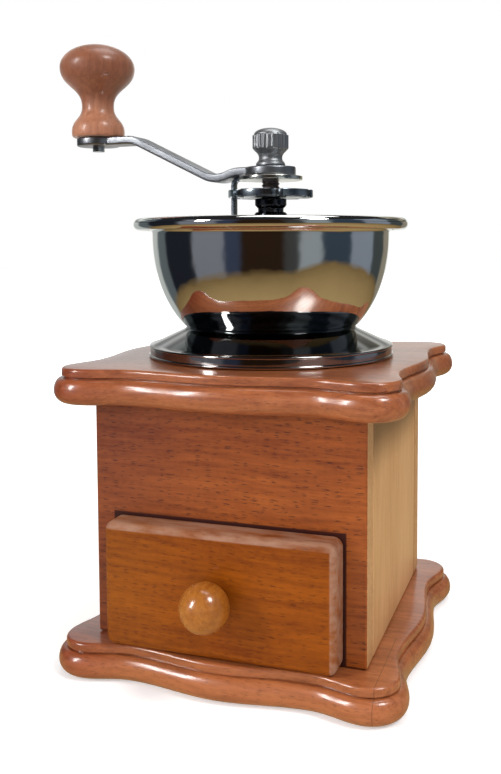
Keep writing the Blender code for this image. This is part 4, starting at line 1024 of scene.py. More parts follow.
@dataclass
class MouldedBoard:
    """One scalloped board: a half-round edge under a thin step."""

    node: str
    finish: Beech = PLATE_BEECH
    hole_radius: float = 0.0
    corner_radius: float = 0.0128
    trough_depth: float = 0.0036
    trough_share: float = 0.51
    step_height: float = 0.0036
    step_inset: float = 0.0028
    foot_inset: float = 0.0042
    top_round: float = 0.0011
    groove: float = 0.0008

    def outline(self) -> np.ndarray:
        """The outline: each side is a cosine wave with bulges at its middle and its ends.

        Returns:
            Closed outline points, anticlockwise.
        """
        low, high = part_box(self.node)
        half = (high.x - low.x) / 2
        reach = half - self.corner_radius
        trough = half * self.trough_share
        along = np.linspace(-reach, reach, 90)
        away = np.abs(along)
        inner = 1 - np.cos(pi * away / trough)
        outer = 1 + np.cos(pi * (away - trough) / (reach - trough))
        depth = self.trough_depth * np.where(away < trough, inner, outer) / 2
        side = np.column_stack((along, -half + depth))
        corner = arc((reach, -reach), self.corner_radius, -pi / 2, 0, 16)[1:-1]
        quarter = np.vstack((side, corner))
        beside = quarter @ np.array(((0, 1), (-1, 0)))
        return np.vstack((quarter, beside, -quarter, -beside))

    def edge(self) -> np.ndarray:
        """The edge from the underside up: two elliptic quarters, a groove, a riser and an arris."""
        low, high = span(self.node)
        thickness = high - low
        step_foot = thickness - self.step_height
        belly = step_foot / 2
        turn = np.linspace(0, pi / 2, 9)
        under = np.column_stack((self.foot_inset * (1 - np.sin(turn)), belly * (1 - np.cos(turn))))
        over = np.column_stack((self.step_inset * (1 - np.cos(turn)), belly * (1 + np.sin(turn))))
        deep = self.step_inset + self.groove
        groove = np.array(((deep, step_foot), (deep, step_foot + self.groove / 2)))
        riser = straight(
            (self.step_inset, step_foot + self.groove),
            (self.step_inset, thickness - self.top_round), 4,
        )
        arris = soft_head(thickness, self.top_round, 6) + np.array((self.step_inset, 0))
        return joined(under, over, groove, riser, arris) + np.array((0, low))

    def build(self, bench: Bench) -> None:
        """Builds the board as one skin: underside, moulded edge and top."""
        side = stacked(self.outline(), self.edge())
        holes = [directions(ring[:, :2]) * self.hole_radius for ring in (side[0], side[-1])]
        grid = faced(side, 7, *holes)
        board = add_surface(self.node + "_board", grid, looped=self.hole_radius > 0)
        bench.place(board, Body.HOUSING, "beech", self.finish, self.node)


@dataclass
class WoodenBox:
    """The case: two moulded boards and four walls."""

    boards: tuple[MouldedBoard, ...] = (
        MouldedBoard("base_plate", BASE_BEECH),
        MouldedBoard("top_plate", hole_radius=0.0245),
    )

    def build(self, bench: Bench) -> None:
        """Builds the boards and dresses the walls."""
        for board in self.boards:
            board.build(bench)
        bench.dress(FRONT_BEECH, "front_panel")
        bench.dress(BACK_BEECH, "back_panel")
        bench.dress(SIDE_BEECH, "left_panel", "right_panel")
        bench.dress(NICKEL, *[f"base_screw_{i}" for i in range(1, 5)])


@dataclass
class Drawer:
    """The drawer: an eased front, a ball knob and a bare box behind."""

    corner: float = 0.003
    ease: float = 0.0026
    back_ease: float = 0.0004
    side_start: float = 0.002
    spacing: float = 0.002
    ball_radius: float = 0.00825
    neck_radius: float = 0.004

    def front(self) -> bpy.types.Object:
        """The front board: a rounded rectangle whose face edges are eased by an arc."""
        low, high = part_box("drawer_front")
        half_width, half_height = (high.x - low.x) / 2, (high.z - low.z) / 2
        corners = []
        for i, (x, y) in enumerate(((1, -1), (1, 1), (-1, 1), (-1, -1))):
            centre = (x * (half_width - self.corner), y * (half_height - self.corner))
            corners.append(arc(centre, self.corner, (i - 1) * pi / 2, i * pi / 2, 8))
        outline = evenly(np.vstack(corners), self.spacing, closed=True)
        thick = high.y - low.y
        edge = joined(
            np.array(((self.back_ease, 0.0), (0.0, self.back_ease))),
            straight((0, self.side_start), (0, thick - self.ease), 5),
            soft_head(thick, self.ease, 8),
        )
        grid = faced(stacked(outline, edge), 5)
        return add_surface("drawer_front_board", laid_forward(grid, high.y, (low.z + high.z) / 2))

    def knob(self) -> bpy.types.Object:
        """The ball knob: a short neck and a sphere, spun about Y."""
        low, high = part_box("drawer_knob")
        centre = high.y - low.y - self.ball_radius
        start = -pi / 2 + np.arcsin(self.neck_radius / self.ball_radius)
        ball = arc((0, centre), self.ball_radius, start, pi / 2, 40)
        profile = joined(np.array(((0.0, 0.0), (self.neck_radius, 0.0))), ball)
        profile[-1, 0] = 0
        grid = laid_forward(spun(profile, 72), high.y, (low.z + high.z) / 2)
        return add_surface("drawer_ball", grid)

    def build(self, bench: Bench) -> None:
        """Builds the drawer's visible pieces and dresses its box."""
        bench.place(self.front(), Body.DRAWER, "beech", DRAWER_BEECH, "drawer_front")
        bench.place(self.knob(), Body.DRAWER, "pale_beech", PULL_BEECH, "drawer_knob")
        sides = [f"drawer_{side}" for side in ("left_side", "right_side", "back", "bottom")]
        bench.dress(BARE_BEECH, *sides)
        bench.dress(NICKEL, "drawer_knob_screw")


@dataclass
class Hopper:
    """The spun foot and the open bowl."""

    foot_sheet: float = 0.001
    skirt_radius: float = 0.0463
    skirt_height: float = 0.0045
    bead: float = 0.0005
    bead_drop: float = 1.5
    cone_lap: float = 1.2
    shoulder_rise: float = 0.0097
    shoulder_radius: float = 0.0335
    neck_radius: float = 0.0325
    bowl_sheet: float = 0.0009
    throat_radius: float = 0.0185
    floor_radius: float = 0.0335
    wall_radius: float = 0.045
    wall_height: float = 0.0345
    handle_shares: tuple[Point, Point] = ((0.52, 0.19), (1.0, 0.5))
    flare_start: Point = (0.0002, 0.0012)
    flare_end: Point = (0.0012, 0.0006)
    rim_radius: float = 0.052
    rim_rise: float = 0.0377
    rim_bead: float = 0.0022
    rim_turn: Point = (radians(-145), radians(193))
    steps: int = 192

    def foot(self) -> bpy.types.Object:
        """The foot: two small beads on a skirt, a cone and a short curved neck."""
        low, high = span("hopper_flange")
        skirt, shoulder = low + self.skirt_height, low + self.shoulder_rise
        outer, bead = self.skirt_radius, self.bead
        bottom_bead = arc((outer, low + bead), bead, -pi / 2, pi / 2, 9)
        top_bead = arc((outer - bead / 2, skirt - bead * self.bead_drop), bead, -pi / 3, pi / 2, 9)
        cone_start = (outer - self.foot_sheet * self.cone_lap, skirt - bead / 3)
        cone = straight(cone_start, (self.shoulder_radius, shoulder), 10)
        bend = (self.neck_radius, (shoulder + high) / 2)
        neck = bezier([(self.shoulder_radius, shoulder), bend, bend, (self.neck_radius, high)], 8)
        path = joined(bottom_bead, top_bead, cone, neck)
        section = walled(path, self.foot_sheet)
        return add_surface("foot_shell", spun(section, self.steps), looped=True)

    def bowl(self) -> bpy.types.Object:
        """The bowl: floor, a free curve up the wall, a flare and a rolled bead."""
        low = span("hopper_bowl")[0]
        start, top = (self.floor_radius, low), (self.wall_radius, low + self.wall_height)
        width = self.wall_radius - self.floor_radius
        handles = [
            (start[0] + width * across, low + self.wall_height * up)
            for across, up in self.handle_shares
        ]
        wall = bezier([start, *handles, top], 44)
        centre = (self.rim_radius - self.rim_bead, low + self.rim_rise)
        bead = arc(centre, self.rim_bead, *self.rim_turn, 30)
        away, back = (np.array(handle) for handle in (self.flare_start, self.flare_end))
        flare = bezier([top, top + away, bead[0] - back, bead[0]], 7)
        path = joined(straight((self.throat_radius, low), start, 8), wall, flare)
        inner = (path + normals_left(path) * self.bowl_sheet)[::-1]
        section = joined(path[:-1], bead, inner[1:])
        return add_surface("bowl_shell", spun(section, self.steps), looped=True)

    def build(self, bench: Bench) -> None:
        """Builds the foot and the bowl."""
        bench.place(self.foot(), Body.HOUSING, "dark_chrome", FOOT_POLISH, "hopper_flange")
        bench.place(self.bowl(), Body.HOUSING, "chrome", BOWL_POLISH, "hopper_bowl")


@dataclass
class MillWorks:
    """What stands still in the bowl and under it: bridge, collar and grinding ring."""

    bore: float = 0.0052
    neck_wall: float = 0.0011
    base_wall: float = 0.0035
    tip_wall: float = 0.0006
    tip_height: float = 0.0013
    base_height: float = 0.0145
    hub_rise: float = 0.0163
    arm_reach: float = 0.0206
    arm_width: float = 0.007
    arm_depth: float = 0.004
    arm_soft: float = 0.0009
    arch_rise: float = 0.022
    pad_level: float = 0.00175
    pad_offset: float = 0.026
    pad_radius: float = 0.005
    pad_thickness: float = 0.0035
    pad_soft: float = 0.0005
    pad_spacing: float = 0.001
    collar_bore: float = 0.00375
    collar_radius: float = 0.0049
    collar_head: float = 0.00605
    collar_head_height: float = 0.00255
    collar_softs: tuple[float, ...] = (0.0002, 0.0002, 0.0003, 0.0003, 0.0004, 0.0003)

    def hub(self) -> bpy.types.Object:
        """The bridge's hub: straight base, an S-shaped waist and a rounded tip."""
        low, top = span("bearing_bridge")
        foot, tip_foot = low + self.hub_rise, top - self.tip_height
        base, neck = self.bore + self.base_wall, self.bore + self.neck_wall
        start, end = (base, foot + self.base_height), (neck, tip_foot)
        middle = (start[1] + end[1]) / 2
        waist = bezier([start, (base, middle), (neck, middle), end], 24)
        shoulder = (neck, top - self.tip_height / 2)
        tip = bezier([end, shoulder, (self.bore + self.tip_wall, top), (self.bore, top)], 8)
        section = joined(np.array(((self.bore, foot), (base, foot))), waist, tip)
        return add_surface("bridge_hub", spun(section, 96), looped=True)

    def arch(self) -> bpy.types.Object:
        """The arch: a rounded bar carried along a half ellipse in the XZ plane."""
        angle = np.linspace(0, pi, 60)
        level = span("bearing_bridge")[0] + self.pad_level
        height = level + self.arch_rise * np.sin(angle)
        line = np.column_stack((self.arm_reach * np.cos(angle), height))
        section = bar(self.arm_width / 2, self.arm_depth / 2, self.arm_soft, 6)
        return add_surface("bridge_arch", capped(carried(line, section)))

    def pads(self) -> list[bpy.types.Object]:
        """The two feet: round under the screw, square where the arch stands."""
        end = arc((self.pad_offset, 0), self.pad_radius, -pi / 2, pi / 2, 24)
        inner = self.arm_reach - self.arm_depth / 2
        back = straight((inner, self.pad_radius), (inner, -self.pad_radius), 8)
        outline = evenly(np.vstack((end, back)), self.pad_spacing)
        head = soft_head(self.pad_thickness, self.pad_soft)
        rise = joined(np.array(((0.0, 0.0), (0.0, self.pad_thickness - self.pad_soft))), head)
        rise += np.array((0, span("bearing_bridge")[0]))
        return [
            add_surface(f"bridge_foot_{name}", capped(stacked(outline * side, rise)))
            for name, side in (("right", 1), ("left", -1))
        ]

    def collar(self) -> bpy.types.Object:
        """The black collar: sleeve, a sloping undercut and a head with soft edges."""
        low, high = span("bearing_bush")
        head_foot = high - self.collar_head_height
        slope_foot = head_foot - (self.collar_head - self.collar_radius)
        corners = [
            (self.collar_bore, low), (self.collar_radius, low), (self.collar_radius, slope_foot),
            (self.collar_head, head_foot), (self.collar_head, high), (self.collar_bore, high),
        ]
        section = rounded_polygon(corners, self.collar_softs, 5)
        return add_surface("collar_ring", spun(section, 96), looped=True)

    def build(self, bench: Bench) -> None:
        """Builds the bridge and its collar, and dresses the ring and the screws."""
        bench.place(self.hub(), Body.HOUSING, "black_gloss", BLACK_GLOSS, "bearing_bridge")
        for piece in (self.arch(), *self.pads()):
            bench.place(piece, Body.HOUSING, "black_gloss", BLACK_GLOSS)
        bench.place(self.collar(), Body.HOUSING, "black_gloss", BLACK_GLOSS, "bearing_bush")
        bench.dress(CAST_IRON, "outer_burr")
        bench.dress(NICKEL, *[f"burr_screw_{i}" for i in (1, 2, 3)])
        bench.dress(NICKEL, "bridge_screw_1", "bridge_screw_2")


@dataclass
class Setting:
    """What sets the grind: star wheel, spindle and the stop plate with its tab."""

    shaft_radius: float = 0.0035
    shaft_row: float = 0.00014
    shaft_pitch: float = 0.0014
    shaft_depth: float = 0.0006
    long_thread: float = 0.025
    end_thread: float = 0.0095
    end_length: float = 0.0104
    end_radius: float = 0.0023
    collar_radius: float = 0.0077
    collar_top: float = 0.002
    square: float = 0.0049
    hole_radius: float = 0.0038
    wheel_radius: float = 0.0162
    wheel_chamfer: float = 0.0004
    wheel_spacing: float = 0.0006
    notch_width: float = 0.0044
    notch_depth: float = 0.0033
    notches: int = 6
    stop_radius: float = 0.0122
    stop_thickness: float = 0.0015
    stop_soft: float = 0.0003
    tab_width: float = 0.003
    tab_start: float = 0.85
    tab_setback: float = 0.0002
    tab_bend: float = 0.003

    def wheel(self) -> bpy.types.Object:
        """The star wheel: round lobes between U notches, with soft arrises."""
        low, high = span("adjusting_wheel")
        half = self.notch_width / 2
        spread = np.arcsin(half / self.wheel_radius)
        centre = self.wheel_radius - self.notch_depth + half
        parts = []
        for middle in turns(self.notches):
            at = (cos(middle) * centre, sin(middle) * centre)
            parts.append(arc(at, half, middle - pi / 2, middle - 3 * pi / 2, 20))
            lobe_end = middle + tau / self.notches - spread
            parts.append(arc((0, 0), self.wheel_radius, middle + spread, lobe_end, 30))
        outline = evenly(np.vstack(parts), self.wheel_spacing, closed=True)
        edge = soft_edge(high - low, self.wheel_chamfer) + np.array((0, low))
        hole = directions(outline) * self.hole_radius
        grid = faced(stacked(outline, edge), 7, hole, hole)
        return add_surface("star_wheel", turned_about_z(grid, REST_ANGLE), looped=True)

    def shaft(self) -> bpy.types.Object:
        """The spindle: its radius dips along a helix on the two threaded lengths.

        The dip follows a triangle wave of height over pitch less angle over a turn.

        Returns:
            The new object.
        """
        low, high = span("spindle")
        shoulder = span("stop_plate")[1] - self.stop_thickness - PLAY
        cone = span("inner_burr")[1]
        angle = turns(48)
        level = np.arange(low, high, self.shaft_row)[:, None]
        wave = (level / self.shaft_pitch - angle / tau) % 1
        threaded = (level > shoulder - self.long_thread) & (level < shoulder)
        threaded |= level > high - self.end_thread
        radius = np.where(level < shoulder, self.shaft_radius, self.end_radius)
        radius = radius - np.where(threaded, self.shaft_depth * np.abs(wave * 2 - 1), 0)
        tang = (level >= shoulder) & (level < high - self.end_length)
        radius = np.where(tang, square_radius(self.square / 2, angle), radius)
        collar = (level > cone + PLAY) & (level < cone + self.collar_top)
        radius = np.where(collar, self.collar_radius, radius)
        grid = capped(swept(radius, level, angle))
        return add_surface("spindle_shaft", turned_about_z(grid, REST_ANGLE))

    def disc(self) -> bpy.types.Object:
        """The stop plate's disc with its square hole."""
        low = span("stop_plate")[1] - self.stop_thickness
        angle = turns(128)
        way = np.column_stack((np.cos(angle), np.sin(angle)))
        edge = soft_edge(self.stop_thickness, self.stop_soft) + np.array((0, low))
        hole = way * square_radius(self.square / 2 + PLAY, angle)[:, None]
        grid = faced(stacked(way * self.stop_radius, edge), 5, hole, hole)
        return add_surface("stop_disc", turned_about_z(grid, REST_ANGLE), looped=True)

    def tab(self) -> bpy.types.Object:
        """The stop plate's tab, bent down over the wheel's edge."""
        low, high = span("stop_plate")
        face = self.wheel_radius - self.tab_setback
        middle = self.stop_thickness / 2
        centre = (face - self.tab_bend, high - self.tab_bend)
        bend = arc(centre, self.tab_bend - middle, pi / 2, 0, 16)
        line = joined(
            straight((self.stop_radius * self.tab_start, high - middle), bend[0], 4),
            bend,
            straight(bend[-1], (face - middle, low), 10),
        )
        section = bar(self.tab_width / 2, middle, self.stop_soft, 5)
        grid = capped(carried(line, section))
        return add_surface("stop_tab", turned_about_z(grid, REST_ANGLE))

    def build(self, bench: Bench) -> None:
        """Builds the wheel, the spindle and the stop plate, and dresses the inner works."""
        bench.place(self.wheel(), Body.WHEEL, "blued_steel", WHEEL_STEEL, "adjusting_wheel")
        bench.place(self.shaft(), Body.SHAFT, "spring_steel", SHAFT_STEEL, "spindle")
        bench.place(self.disc(), Body.STOP, "pale_zinc", BRIGHT_PLATE, "stop_plate")
        bench.place(self.tab(), Body.STOP, "pale_zinc", WHEEL_STEEL)
        bench.dress(CAST_IRON, "inner_burr")
        bench.dress(NICKEL, "burr_washer", "burr_nut", "spring_washer")
        bench.dress(SHAFT_STEEL, "pressure_spring")


@dataclass
class Crank:
    """The crank: bent bar, knurled nut, bolt and wooden knob.

    The curves of nut and knob hold (radius, height above the foot) pairs.
    """

    throw: float = 0.0762
    thickness: float = 0.0032
    width: float = 0.01
    arm_soft: float = 0.0008
    arm_spacing: float = 0.0007
    least_width: Point = (0.0004, 0.0001)
    eye_radius: float = 0.0096
    end_radius: float = 0.0087
    dip: float = 0.0021
    dip_start: float = 0.0134
    dip_run: float = 0.0052
    low_run: float = 0.0052
    rise: float = 0.0142
    level_run: float = 0.0187
    bend: float = 0.0024
    nut_flare: Curve = ((0.0056, 0.0004), (0.0056, 0.0018), (0.00445, 0.0016), (0.00445, 0.0032))
    nut_under: Curve = ((0.00445, 0.0032), (0.00445, 0.0048), (0.0057, 0.0053), (0.0066, 0.0065))
    nut_head: float = 0.0069
    nut_head_span: Point = (0.0068, 0.0116)
    nut_dome: Point = (0.0063, 0.0119)
    nut_bore: float = 0.0026
    nut_roof: float = 0.0042
    nut_seat: float = 0.0052
    nut_steps: int = 288
    flutes: int = 24
    flute_depth: float = 0.00035
    grip_base: Curve = ((0.00935, 0.0), (0.01065, 0.0), (0.01065, 0.0008), (0.01065, 0.0022))
    grip_waist: Curve = ((0.01065, 0.0022), (0.01065, 0.00745), (0.0064, 0.00745), (0.0064, 0.0127))
    grip_pear: Curve = ((0.0064, 0.0127), (0.0064, 0.02045), (0.01505, 0.02045), (0.01505, 0.0282))
    grip_height: float = 0.0375
    grip_well: float = 0.0048
    grip_well_depth: float = 0.0042
    grip_bore: float = 0.0027

    def arm(self) -> bpy.types.Object:
        """The bar: a flat section with soft corners carried along its bends.

        Its half width follows a circle at each eye and is even between them.

        Returns:
            The new object.
        """
        level = span("stop_plate")[1] + PLAY + self.thickness / 2
        dip_end = self.dip_start + self.dip_run
        low, high = level - self.dip, level + self.rise
        corners = [
            (-self.eye_radius, level), (self.dip_start, level), (dip_end, low),
            (dip_end + self.low_run, low), (self.throw - self.level_run, high),
            (self.throw + self.end_radius, high),
        ]
        line = evenly(bent_line(np.array(corners), self.bend, 14), self.arm_spacing)
        x = line[:, 0]
        eye = np.sqrt(np.clip(self.eye_radius**2 - x**2, 0, None))
        end = np.sqrt(np.clip(self.end_radius**2 - (x - self.throw) ** 2, 0, None))
        middle = np.where((x > 0) & (x < self.throw), self.width / 2, self.least_width[0])
        half = np.max((eye, end, middle), axis=0)[:, None]
        section = bar(1, self.thickness / 2, self.arm_soft, 6)
        grid = carried(line, section)
        across = section[None, :, 0]
        inset = 1 - np.abs(across)
        grid[..., 1] = np.sign(across) * np.maximum(half - inset, self.least_width[1])
        return add_surface("crank_bar", turned_about_z(capped(grid), REST_ANGLE))

    def nut(self) -> bpy.types.Object:
        """The nut: waist and head spun, with flutes as a cosine wave in the head's radius."""
        low, high = span("lock_nut")
        head_foot, head_top = (low + height for height in self.nut_head_span)
        rim, dome_foot = self.nut_dome[0], low + self.nut_dome[1]
        angle = np.linspace(0, pi / 2, 16)
        height = dome_foot + (high - dome_foot) * np.sin(angle)
        roof = high - self.nut_roof
        profile = joined(
            np.array(((0.0, roof), (self.nut_bore, roof))),
            np.array(((self.nut_bore, low), (self.nut_seat, low))),
            bezier(self.nut_flare, 14, low),
            bezier(self.nut_under, 10, low),
            straight((self.nut_head, head_foot), (self.nut_head, head_top), 8),
            np.column_stack((rim * np.cos(angle), height)),
        )
        grid = spun(profile, self.nut_steps)
        wave = 0.5 - 0.5 * np.cos(self.flutes * turns(self.nut_steps))
        fluted = profile[:, :1] >= self.nut_head
        grid[..., :2] *= np.where(fluted, 1 - self.flute_depth * wave / self.nut_head, 1)[..., None]
        return add_surface("knurled_nut", turned_about_z(grid, REST_ANGLE))

    def knob(self) -> bpy.types.Object:
        """The knob: foot, waist, pear-shaped head and dome, with the bolt's well on top."""
        low = span("crank_knob")[0]
        widest, waterline = self.grip_pear[-1]
        angle = np.linspace(0, np.arccos(self.grip_well / widest), 30)
        height = low + waterline + (self.grip_height - waterline) * np.sin(angle)
        floor = low + self.grip_height - self.grip_well_depth
        section = joined(
            np.array(((self.grip_well, floor), (self.grip_bore, floor), (self.grip_bore, low))),
            bezier(self.grip_base, 8, low),
            bezier(self.grip_waist, 30, low),
            bezier(self.grip_pear, 36, low),
            np.column_stack((widest * np.cos(angle), height)),
        )
        axis = np.array((self.throw * cos(REST_ANGLE), self.throw * sin(REST_ANGLE), 0))
        return add_surface("turned_knob", spun(section, 128) + axis, looped=True)

    def build(self, bench: Bench) -> None:
        """Builds the bar, the nut and the knob."""
        bench.place(self.arm(), Body.CRANK, "satin_nickel", ARM_STEEL, "crank_arm")
        bench.place(self.nut(), Body.NUT, "satin_nickel", NUT_STEEL, "lock_nut")
        bench.place(self.knob(), Body.GRIP, "knob_beech", KNOB_BEECH, "crank_knob")
        bench.dress(NICKEL, "knob_bolt")


@dataclass(frozen=True)
class Card:
    """One upright card of the surround: where it starts, seen from the camera, and its tone."""

    start: float
    tone: Colour


@dataclass
class Surround:
    """A ring of grey, black and tan cards that only polished surfaces see.

    Azimuths count in degrees from the camera's side, positive to the right.
    """

    facing: float
    radius: float = 2.6
    height: float = 3.2
    rise: float = 0.35
    wall_share: float = 0.6
    lid_share: float = 0.62
    floor_level: float = 0.0002
    ring_level: float = 0.0003
    table_radius: float = 0.34
    table_spread: float = 0.22
    table_turn: Point = (20.0, 60.0)
    table_shares: Point = (0.9, 1.12)
    near_radius: float = 0.11
    table_tone: Colour = (0.19, 0.125, 0.052)
    near_tone: Colour = (0.42, 0.29, 0.13)
    top_tone: Colour = (0.02, 0.02, 0.022)
    steps: int = 720
    softness: float = 2.0
    wall_steps: int = 28
    sway: float = 3.5
    sway_rates: Point = (9.0, 23.0)
    level_start: float = 0.85
    level_swing: float = 0.4
    level_rate: float = 15.0
    level_shift: float = 2.2
    level_climb: float = 0.5
    cards: tuple[Card, ...] = (
        Card(-180, (0.80, 0.80, 0.78)),
        Card(-160, (0.46, 0.49, 0.48)),
        Card(-138, (0.10, 0.12, 0.13)),
        Card(-118, (0.012, 0.014, 0.02)),
        Card(-78, (0.17, 0.18, 0.21)),
        Card(-44, (0.035, 0.045, 0.075)),
        Card(-28, (0.022, 0.012, 0.007)),
        Card(12, (0.045, 0.045, 0.045)),
        Card(26, (0.25, 0.28, 0.30)),
        Card(48, (0.035, 0.05, 0.07)),
        Card(80, (0.20, 0.23, 0.28)),
        Card(112, (0.05, 0.06, 0.06)),
        Card(136, (0.24, 0.22, 0.17)),
        Card(158, (0.80, 0.80, 0.76)),
    )

    def tones(self, azimuth: np.ndarray) -> np.ndarray:
        """The tone at each azimuth: the card's own, blended over a narrow overlap."""
        starts = np.array([card.start for card in self.cards])
        tones = np.array([card.tone for card in self.cards])
        steps = (np.tanh((azimuth[:, None] - starts) / self.softness) + 1) / 2
        return steps @ np.diff(tones, axis=0, prepend=np.zeros((1, 3)))

    def wall_rows(self, azimuth: np.ndarray) -> list[tuple[float, float, np.ndarray]]:
        """The wall's rows: the cards sway sideways and change in brightness as they rise."""
        rows = []
        slow, fast = self.sway_rates
        for share in np.linspace(0, 1, self.wall_steps):
            height = self.rise + (self.height * self.wall_share - self.rise) * share
            sway = self.sway * (sin(slow * share) + 0.5 * sin(fast * share + 1.0))
            wave = self.level_swing * sin(self.level_rate * share + self.level_shift)
            level = self.level_start + wave + self.level_climb * share
            rows.append((self.radius, height, self.tones(azimuth + sway) * level))
        return rows

    def build(self) -> None:
        """Builds the ring with its lid as a grid, and the table's disc inside it."""
        azimuth = np.linspace(-180, 180, self.steps, endpoint=False)
        around = np.radians(azimuth) + self.facing
        way = np.column_stack((np.sin(around), -np.cos(around)))
        side = self.tones(azimuth)
        top, table, near = (
            np.broadcast_to(np.array(tone), side.shape)
            for tone in (self.top_tone, self.table_tone, self.near_tone)
        )
        start, end = self.table_turn
        turned = np.clip((azimuth - start) / (end - start), 0, 1)
        edge = (self.table_radius + self.table_spread * turned)[:, None]
        rim = (edge, self.floor_level, (table + side) / 2)
        ring = [
            rim,
            (edge * self.table_shares[1], self.ring_level, side),
            *self.wall_rows(azimuth),
            (self.radius, self.height * self.lid_share, top),
            (self.radius, self.height, top),
            (0.0, self.height, top),
        ]
        disc = [
            (0.0, self.floor_level, near),
            (self.near_radius, self.floor_level, near),
            (edge * self.table_shares[0], self.floor_level, table),
            rim,
        ]
        for name, rows in (("card_ring", ring), ("table_card", disc)):
            grid = np.array([lifted(way * radius, height) for radius, height, _ in rows])
            self.card(name, grid, np.array([tone for _, _, tone in rows]))

    def card(self, name: str, grid: np.ndarray, tones: np.ndarray) -> None:
        """Makes a glowing stage surface that only mirror rays meet.

        Args:
            name: The object's name.
            grid: Its points.
            tones: A tone for each point.
        """
        mesh = grid_mesh(name, grid)
        colours = np.concatenate((tones, np.ones((*grid.shape[:2], 1))), axis=2)
        layer = mesh.color_attributes.new("tone", "FLOAT_COLOR", "POINT")
        layer.data.foreach_set("color", colours.reshape(-1))
        material = bpy.data.materials.new(name)
        material.use_nodes = True
        nodes = Nodes(material.node_tree)
        tone = nodes.add("Attribute", attribute_name="tone").outputs["Color"]
        glow = nodes.add("Emission", {"Color": tone, "Strength": 1.0})
        nodes.fill(nodes.tree.nodes["Material Output"], {"Surface": glow.outputs[0]})
        mesh.materials.append(material)
        obj = linked(name, mesh)
        for ray in ("camera", "diffuse", "transmission", "shadow"):
            setattr(obj, f"visible_{ray}", False)


@dataclass(frozen=True)
class Lamp:
    """A soft lamp, placed by its azimuth from the camera's side."""

    name: str
    azimuth: float
    distance: float
    height: float
    size: float
    power: float
    mirrored: bool = True
    width_share: float = 1.0


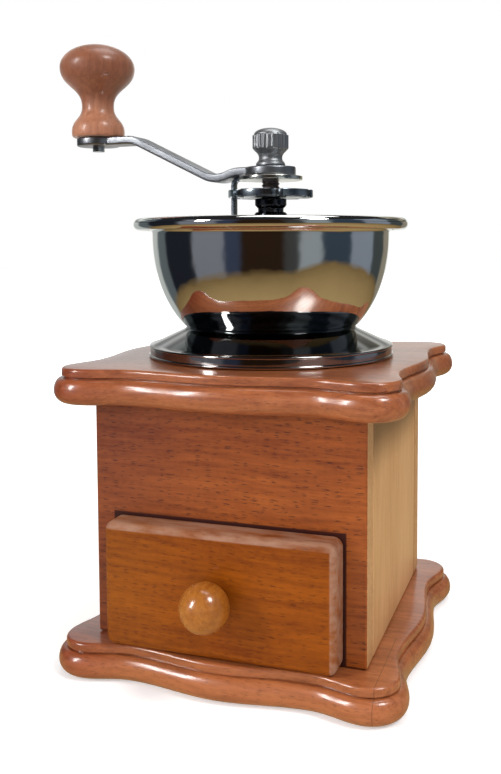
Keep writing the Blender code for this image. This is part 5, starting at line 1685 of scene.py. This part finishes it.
@dataclass
class Studio:
    """A plain pale floor and soft lamps."""

    floor_size: float = 8.0
    floor_level: float = -0.0002
    floor_tone: Colour = (0.86, 0.86, 0.86)
    floor_roughness: float = 0.9
    world_level: float = 0.42
    facing: float = radians(19.3)
    aim_height: float = 0.12
    near: float = 0.25
    far: float = 0.9
    near_lift: float = 0.35
    lamps: tuple[Lamp, ...] = (
        Lamp("left_window", -60, 1.5, 0.75, 0.7, 13.0, width_share=0.3),
        Lamp("right_window", 46, 1.1, 1.45, 0.5, 14.0, width_share=0.8),
        Lamp("ceiling_lamp", 150, 0.4, 1.9, 1.0, 11.0),
        Lamp("front_fill", -12, 1.9, 0.35, 1.2, 9.0, mirrored=False),
    )

    def build(self) -> None:
        """Builds the floor, the lamps, the world and the surround."""
        half = self.floor_size / 2
        corners = [(x, y, self.floor_level) for y in (-half, half) for x in (-half, half)]
        mesh = bpy.data.meshes.new("studio_floor")
        mesh.from_pydata(corners, [], [(0, 1, 3, 2)])
        mesh.materials.append(self.floor_material())
        linked("studio_floor", mesh)
        for lamp in self.lamps:
            self.hang(lamp)
        self.world()
        Surround(self.facing).build()

    def seen(self, nodes: Nodes, *kinds: str) -> Socket:
        """A mask of the rays of any of these kinds."""
        path = nodes.add("LightPath").outputs
        rays = [path[f"Is {kind} Ray"] for kind in kinds]
        return reduce(lambda first, second: nodes.maths("MAXIMUM", first, second), rays)

    def floor_material(self) -> bpy.types.Material:
        """A pale matt floor; seen straight it is lifted to the backdrop's white far off."""
        material, nodes, shader = principled("pale_floor")
        nodes.fill(shader, {"Base Color": self.floor_tone, "Roughness": self.floor_roughness})
        place = nodes.add("TexCoord").outputs["Object"]
        away = nodes.add("VectorMath", {0: place}, operation="LENGTH").outputs["Value"]
        spread = {"Value": away, "From Min": self.near, "From Max": self.far}
        spread["To Min"] = self.near_lift
        strength = nodes.add("MapRange", spread, interpolation_type="SMOOTHSTEP").outputs["Result"]
        lift = nodes.add("Emission", {"Color": (1.0, 1.0, 1.0), "Strength": strength}).outputs[0]
        plain = shader.outputs[0]
        both = nodes.add("AddShader", {0: plain, 1: lift}).outputs[0]
        seen = self.seen(nodes, "Camera", "Glossy", "Transmission")
        mixed = nodes.add("MixShader", {0: seen, 1: plain, 2: both}).outputs[0]
        nodes.fill(nodes.tree.nodes["Material Output"], {"Surface": mixed})
        return material

    def hang(self, lamp: Lamp) -> None:
        """Hangs a lamp so that it looks at the bowl."""
        data = bpy.data.lights.new(lamp.name, "AREA")
        data.shape = "RECTANGLE"
        data.size = lamp.size * lamp.width_share
        data.size_y = lamp.size
        data.energy = lamp.power
        around = radians(lamp.azimuth) + self.facing
        place = Vector((sin(around) * lamp.distance, -cos(around) * lamp.distance, lamp.height))
        hung = linked(lamp.name, data)
        hung.location = place
        hung.visible_glossy = lamp.mirrored
        aim = Vector((0, 0, self.aim_height))
        hung.rotation_euler = (aim - place).to_track_quat("-Z", "Y").to_euler()

    def world(self) -> None:
        """An even pale sky, white where the camera or a mirror sees it."""
        world = bpy.data.worlds.new("pale_studio")
        world.use_nodes = True
        bpy.context.scene.world = world
        nodes = Nodes(world.node_tree)
        seen = self.seen(nodes, "Camera", "Transmission", "Glossy")
        level = nodes.plus(nodes.times(seen, 1 - self.world_level), self.world_level)
        sky = {"Color": (1.0, 1.0, 1.0), "Strength": level}
        nodes.fill(world.node_tree.nodes["Background"], sky)


@dataclass
class Viewpoint:
    """The camera, at the photograph's angle."""

    azimuth: float = radians(18.818)
    distance: float = 0.3410
    height: float = 0.1512
    yaw: float = radians(-0.303)
    pitch: float = radians(3.872)
    roll: float = radians(-0.213)
    lens: float = 41.282
    sensor: float = 36.0
    shift_x: float = -0.03274
    shift_y: float = -0.1085
    clip_start: float = 0.01

    def build(self) -> None:
        """Places the camera from its distance, azimuth, height and small turns."""
        data = bpy.data.cameras.new("camera")
        data.lens = self.lens
        data.sensor_width = self.sensor
        data.shift_x = self.shift_x
        data.shift_y = self.shift_y
        data.clip_start = self.clip_start
        camera = linked("camera", data)
        heading = self.azimuth + self.yaw
        forward = Vector((-sin(heading), cos(heading), 0))
        right = Vector((cos(heading), sin(heading), 0))
        up = Vector((0, 0, 1))
        looking = forward * cos(self.pitch) - up * sin(self.pitch)
        level = up * cos(self.pitch) + forward * sin(self.pitch)
        x_axis = right * cos(self.roll) + level * sin(self.roll)
        y_axis = level * cos(self.roll) - right * sin(self.roll)
        turn = Matrix((x_axis, y_axis, -looking)).transposed().to_4x4()
        x, y = sin(self.azimuth) * self.distance, -cos(self.azimuth) * self.distance
        camera.matrix_world = Matrix.Translation((x, y, self.height)) @ turn
        bpy.context.scene.camera = camera


def main() -> None:
    """Builds the grinder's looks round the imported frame."""
    logging.basicConfig(level=logging.INFO, format="%(name)s: %(message)s")
    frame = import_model()
    bpy.context.scene.view_settings.view_transform = "Standard"
    bench = Bench(frame)
    for assembly in (WoodenBox(), Drawer(), Hopper(), MillWorks(), Setting(), Crank()):
        assembly.build(bench)
    Studio().build()
    Viewpoint().build()


if __name__ == "__main__":
    main()
